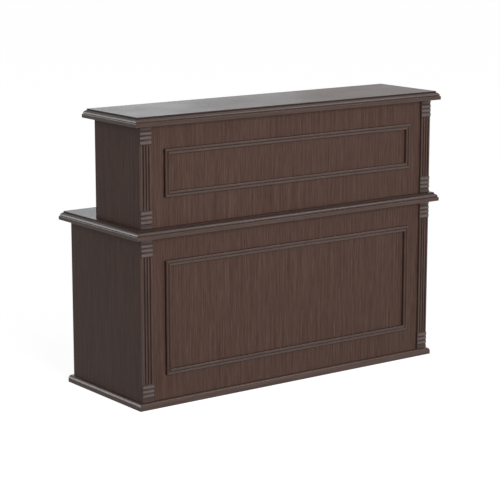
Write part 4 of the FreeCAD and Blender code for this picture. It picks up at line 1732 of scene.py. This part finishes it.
@dataclass
class CableOutlet(Assembly):
    """A ring in the worktop with a swivelling cap."""

    side: Side
    rim: float = 36 * MM
    rim_curve: tuple[Point2, ...] = ((0.0, 0.0), (0.0, 0.8), (0.3, 1.5), (0.9, 2.1), (1.8, 2.4), (3.0, 2.5))
    sleeve: float = 29.9 * MM
    sleeve_chamfer: float = 0.6 * MM
    bore: float = 27 * MM
    bore_ease: float = 0.6 * MM
    bore_corner: float = 0.15 * MM
    ledge: float = 3.5 * MM
    ledge_height: float = 2.5 * MM
    depth: float = 25 * MM
    rim_height: float = 2.5 * MM
    cap_radius: float = 26.6 * MM
    cap_sink: float = 1 * MM
    cap_height: float = 3 * MM
    cap_ease: float = 0.4 * MM
    cap_steps: int = 88
    notch_half: float = 10 * MM
    notch_length: float = 15 * MM
    notch_ease: float = 4 * MM
    groove_y: float = -14 * MM
    groove_lift: float = 6.4 * MM
    groove_diameter: float = 15 * MM
    groove_length: float = 16 * MM

    def build(self) -> None:
        """Makes the ring and the cap."""
        node = f"outlet_ring_{self.side.word}"
        low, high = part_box(node)
        at = ((low.x + high.x) / 2, (low.y + high.y) / 2, high.z - self.rim_height)
        inner, under = self.bore - self.ledge, -self.cap_sink - self.ledge_height
        bore, top = self.bore, self.rim_height
        profile = [
            (bore, -self.depth), (self.sleeve - self.sleeve_chamfer, -self.depth),
            (self.sleeve, -self.depth + self.sleeve_chamfer), (self.sleeve, 0.0),
            *rounded(self.rim, self.rim_curve),
            (bore + self.bore_ease, top), (bore + self.bore_corner, top - self.bore_corner),
            (bore, top - self.bore_ease), (bore, -self.cap_sink), (inner, -self.cap_sink),
            (inner, under), (bore, under),
        ]
        ring = self.bench.turned(f"{node}_collar", profile, at, self.finishes.plastic, 96)
        self.bench.hand_over(ring, "black_plastic", node)
        self.build_cap(at)

    def build_cap(self, at: Point3) -> None:
        """Makes the cap with its cable notch and finger groove.

        Args:
            at: The ring's middle on the worktop's face.
        """
        start = math.acos(self.notch_half / self.cap_radius)
        sweep = math.tau - (math.pi - 2 * start)
        arc = [(math.pi - start) + sweep * step / self.cap_steps for step in range(self.cap_steps + 1)]
        plan = [(self.cap_radius * math.cos(angle), self.cap_radius * math.sin(angle)) for angle in arc]
        floor = self.cap_radius - self.notch_length
        count = len(plan)
        section = Section(corners=(*plan, (self.notch_half, floor), (-self.notch_half, floor)),
                          eases={count: self.notch_ease, count + 1: self.notch_ease}, margin=1.0 * MM)
        groove = Bores(1, (0.0, self.groove_y, self.cap_height + self.groove_lift), ZERO,
                       self.groove_diameter, self.groove_length, (0.0, QUARTER_TURN, 0.0), 48)
        node = f"outlet_cap_{self.side.word}"
        place = axes((1, 0, 0), (0, 1, 0), (at[0], at[1], at[2] - self.cap_sink))
        cap = self.bench.run(f"{node}_disc", section, place, self.cap_height, self.finishes.plastic,
                             bores=(groove,), ease=self.cap_ease)
        self.bench.hand_over(cap, "black_plastic", node, body=node)


@dataclass
class LevellingGlide(Assembly):
    """A foot that screws in and out of a plinth rail."""

    name: str
    radius: float = 14 * MM
    height: float = 5 * MM
    rim_curve: tuple[Point2, ...] = (
        (1.6, 0.0), (0.6, 0.25), (0.1, 0.9), (0.0, 1.6), (0.0, 3.2), (0.25, 4.1), (0.9, 4.75), (1.8, 5.0))
    sole_radius: float = 6.0 * MM
    sole_depth: float = 0.4 * MM
    seat_radius: float = 6.5 * MM
    seat_depth: float = 0.3 * MM
    stem_radius: float = 4 * MM
    stem_top: float = 22 * MM
    stem_sink: float = 1.0 * MM
    thread_pitch: float = 1.25 * MM
    thread_depth: float = 0.65 * MM
    thread_levels: tuple[float, ...] = (0.0, 0.15, 0.42, 0.58, 0.85)
    thread_facets: int = 20

    def build(self) -> None:
        """Makes the pad and its threaded stem."""
        low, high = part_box(self.name)
        at = ((low.x + high.x) / 2, (low.y + high.y) / 2, low.z)
        sole, sole_depth = self.sole_radius, self.sole_depth
        seat, seat_depth = self.seat_radius, self.seat_depth
        profile = [
            (0.0, sole_depth), (sole, sole_depth), (sole + sole_depth, 0.0),
            *rounded(self.radius, self.rim_curve),
            (seat + seat_depth, self.height), (seat, self.height - seat_depth),
            (0.0, self.height - seat_depth),
        ]
        pad = self.bench.turned(f"{self.name}_pad", profile, at, self.finishes.plastic, 56)
        self.bench.hand_over(pad, "black_plastic", self.name, body=self.name)
        stem = self.bench.new_object(f"{self.name}_stem", self.threaded(f"{self.name}_stem", at))
        self.bench.dress(stem.data, self.finishes.steel)
        self.bench.hand_over(stem, "steel", body=self.name)

    def threaded(self, name: str, at: Point3) -> Mesh:
        """The threaded stem's mesh.

        Args:
            name: The mesh's name.
            at: The glide's foot.

        Returns:
            The mesh.
        """
        facets, root = self.thread_facets, self.stem_radius - self.thread_depth
        start = self.height - self.stem_sink
        levels = self.thread_levels
        radii = (root, root, self.stem_radius, self.stem_radius, root)
        turns = int((self.stem_top - start) / self.thread_pitch) - 1
        verts, rings = [], turns * facets + 1
        for step in range(rings):
            angle, rise = math.tau * step / facets, start + self.thread_pitch * step / facets
            fade = min(1.0, step / facets, (rings - 1 - step) / facets)
            for level, radius in zip(levels, radii):
                reach = root + (radius - root) * fade
                verts.append((reach * math.cos(angle), reach * math.sin(angle),
                              rise + level * self.thread_pitch))
        width = len(levels)
        faces = []
        for step in range(rings - 1):
            for row in range(width - 1):
                first = step * width + row
                faces.append((first, first + width, first + width + 1, first + 1))
            upper, lower = step * width + width - 1, (step + facets) * width
            if lower + width < len(verts):
                faces.append((upper, upper + width, lower + width, lower))
        mesh = bpy.data.meshes.new(name)
        mesh.from_pydata(verts, [], faces)
        shape = bmesh.new()
        shape.from_mesh(mesh)
        bmesh.ops.remove_doubles(shape, verts=shape.verts, dist=TINY)
        bmesh.ops.holes_fill(shape, edges=shape.edges[:])
        bmesh.ops.recalc_face_normals(shape, faces=shape.faces[:])
        if shape.calc_volume(signed=True) < 0:
            bmesh.ops.reverse_faces(shape, faces=shape.faces[:])
        shape.to_mesh(mesh)
        shape.free()
        mesh.transform(Matrix.Translation(at))
        return mesh


# The studio

class Reach(Enum):
    """What a lamp's light falls on."""

    ALL = "all"
    DESK = "desk"
    EDGES = "edges"


@dataclass(frozen=True)
class Lamp:
    """One large soft lamp; a mirrored one shows in glossy faces, and one that isn't matte only there."""

    name: str
    at: Point3
    target: Point3
    size: Point2
    power: float
    reach: Reach = Reach.ALL
    mirrored: bool = True
    matte: bool = True
    tint: Point3 = (1.0, 1.0, 1.0)

    def build(self, lit: list[Object]) -> None:
        """Makes the lamp.

        Args:
            lit: The pieces that it lights, unless it lights everything.
        """
        data = bpy.data.lights.new(self.name, "AREA")
        data.shape, data.energy, data.color = "RECTANGLE", self.power, self.tint
        data.size, data.size_y = self.size
        lamp = bpy.data.objects.new(self.name, data)
        lamp.visible_camera, lamp.visible_glossy, lamp.visible_diffuse = False, self.mirrored, self.matte
        lamp.location = self.at
        lamp.rotation_euler = (Vector(self.at) - Vector(self.target)).to_track_quat("Z", "Y").to_euler()
        bpy.context.scene.collection.objects.link(lamp)
        if self.reach is not Reach.ALL:
            receivers = bpy.data.collections.new(f"{self.name}_lit")
            for made in lit:
                receivers.objects.link(made)
            lamp.light_linking.receiver_collection = receivers


LAMPS = (
    Lamp("front_softbox", (-0.6, -6.6, 2.3), (0.0, 0.0, 0.8), (4.0, 4.0), 378.0, mirrored=False),
    Lamp("staff_softbox", (2.6, 5.2, 2.3), (0.0, 0.2, 0.7), (2.5, 2.5), 150.0, Reach.DESK, mirrored=False),
    Lamp("end_softbox", (-6.0, 3.0, 4.2), (0.0, 0.1, 0.9), (3.0, 3.0), 82.0, Reach.DESK, mirrored=False),
    Lamp("brow_softbox", (3.9, -3.1, 5.1), (0.0, 0.0, 0.8), (2.2, 1.3), 36.0),
    Lamp("near_backdrop", (0.85, 6.2, 1.9), (0.0, 0.0, 1.0), (5.7, 1.6), 19.5, Reach.DESK, tint=COOL_LIGHT),
    Lamp("wide_backdrop", (1.35, 6.3, 1.9), (0.0, 0.0, 1.0), (6.7, 1.6), 20.0, Reach.DESK, tint=COOL_LIGHT),
    Lamp("rim_softbox", (-16.3, 25.2, 8.4), (0.0, 0.0, 0.8), (11.0, 17.0), 4100.0, Reach.EDGES, matte=False),
)


@dataclass
class Studio:
    """The floor, the light and the camera."""

    camera_at: Point3 = (-4.6192, -6.2239, 2.0999)
    yaw: float = -0.6361
    pitch: float = 0.1999
    lens: float = 130.23
    sensor: float = 36.0
    sight: float = 200.0
    sky: float = 0.56
    floor_edge: float = 40.0
    floor_z: float = -0.4 * MM
    floor_plain: Colour = (0.45, 0.45, 0.45, 1.0)
    floor_shade: Colour = (0.38, 0.38, 0.38, 1.0)
    floor_glow: float = 0.92

    def build(self) -> None:
        """Makes the floor, the light and the camera."""
        self.build_world()
        desk = [made for made in bpy.context.scene.objects if made.type == "MESH"]
        edges = [made for made in desk if made.name.endswith("_rail")
                 or "_edge_" in made.name and made.name.endswith("_strip")]
        self.build_floor()
        for lamp in LAMPS:
            lamp.build(edges if lamp.reach is Reach.EDGES else desk)
        self.build_camera()
        bpy.context.scene.view_settings.view_transform = "Standard"

    def build_camera(self) -> None:
        """Makes the camera at the photograph's viewing angle."""
        data = bpy.data.cameras.new("photo_view")
        data.lens, data.sensor_width, data.clip_end = self.lens, self.sensor, self.sight
        camera = bpy.data.objects.new("photo_view", data)
        camera.location = self.camera_at
        camera.rotation_euler = (QUARTER_TURN - self.pitch, 0.0, self.yaw)
        bpy.context.scene.collection.objects.link(camera)
        bpy.context.scene.camera = camera

    def seen(self, tree: NodeTree) -> NodeSocket:
        """A mask of the rays that look at the backdrop itself.

        Args:
            tree: The node tree that gets the nodes.

        Returns:
            1 for camera, glossy and transmission rays, else 0.
        """
        path = add(tree, "ShaderNodeLightPath").outputs
        shiny = maths(tree, "MAXIMUM", path["Is Glossy Ray"], path["Is Transmission Ray"])
        return maths(tree, "MAXIMUM", path["Is Camera Ray"], shiny)

    def build_world(self) -> None:
        """Makes a white surrounding whose soft light comes from low all round."""
        world = bpy.data.worlds.new("studio")
        world.use_nodes = True
        bpy.context.scene.world = world
        tree = world.node_tree
        way = add(tree, "ShaderNodeSeparateXYZ", {0: add(tree, "ShaderNodeTexCoord").outputs["Generated"]})
        soft = maths(tree, "MULTIPLY", maths(tree, "SUBTRACT", 1.0, way.outputs["Z"], clamp=True), self.sky)
        strength = maths(tree, "MAXIMUM", self.seen(tree), soft)
        feed(tree, tree.nodes["Background"], {"Color": WHITE, "Strength": strength})

    def build_floor(self) -> None:
        """Makes the pale floor, which is white to the eye but keeps the desk's shadow."""
        mesh = bpy.data.meshes.new("floor")
        edge, z = self.floor_edge, self.floor_z
        corners = ((-edge, -edge, z), (edge, -edge, z), (edge, edge, z), (-edge, edge, z))
        mesh.from_pydata(corners, [], [(0, 1, 2, 3)])
        floor = bpy.data.objects.new("floor", mesh)
        bpy.context.scene.collection.objects.link(floor)
        material = bpy.data.materials.new("pale_floor")
        material.use_nodes = True
        tree = material.node_tree
        tree.nodes.clear()
        plain = add(tree, "ShaderNodeBsdfDiffuse", {"Color": self.floor_plain})
        shade = add(tree, "ShaderNodeBsdfDiffuse", {"Color": self.floor_shade})
        glow = add(tree, "ShaderNodeEmission", {"Color": WHITE, "Strength": self.floor_glow})
        white = add(tree, "ShaderNodeAddShader", {0: shade.outputs[0], 1: glow.outputs[0]})
        upper = add(tree, "ShaderNodeMixShader", {
            0: self.seen(tree), 1: plain.outputs[0], 2: white.outputs[0]})
        clear = add(tree, "ShaderNodeBsdfTransparent")
        behind = add(tree, "ShaderNodeNewGeometry").outputs["Backfacing"]
        both = add(tree, "ShaderNodeMixShader", {0: behind, 1: upper.outputs[0], 2: clear.outputs[0]})
        add(tree, "ShaderNodeOutputMaterial", {"Surface": both.outputs[0]})
        mesh.materials.append(material)


def main() -> None:
    """Builds and dresses the desk, then sets it in the studio."""
    logging.basicConfig(level=logging.INFO, format="%(name)s: %(message)s")
    shop = (Bench(), Finishes())
    upper = Carcass(*shop, Tier.UPPER, pin_rows=PIN_ROWS)
    glides = [f"glide_{side.word}_{end}" for side in Side for end in ("front", "back")]
    assemblies: list[Assembly] = [
        Plinth(*shop),
        Carcass(*shop, Tier.LOWER),
        MouldedTop(*shop, "worktop", outlets=OUTLETS),
        upper,
        StaffShelving(*shop, upper),
        MouldedTop(*shop, "counter"),
        *(Pilaster(*shop, tier, side) for tier in Tier for side in Side),
        *(AppliedFrame(*shop, tier) for tier in Tier),
        Fixings(*shop),
        *(CableOutlet(*shop, side) for side in Side),
        *(LevellingGlide(*shop, name) for name in glides),
    ]
    for assembly in assemblies:
        assembly.build()
    Studio().build()


if __name__ == "__main__":
    main()
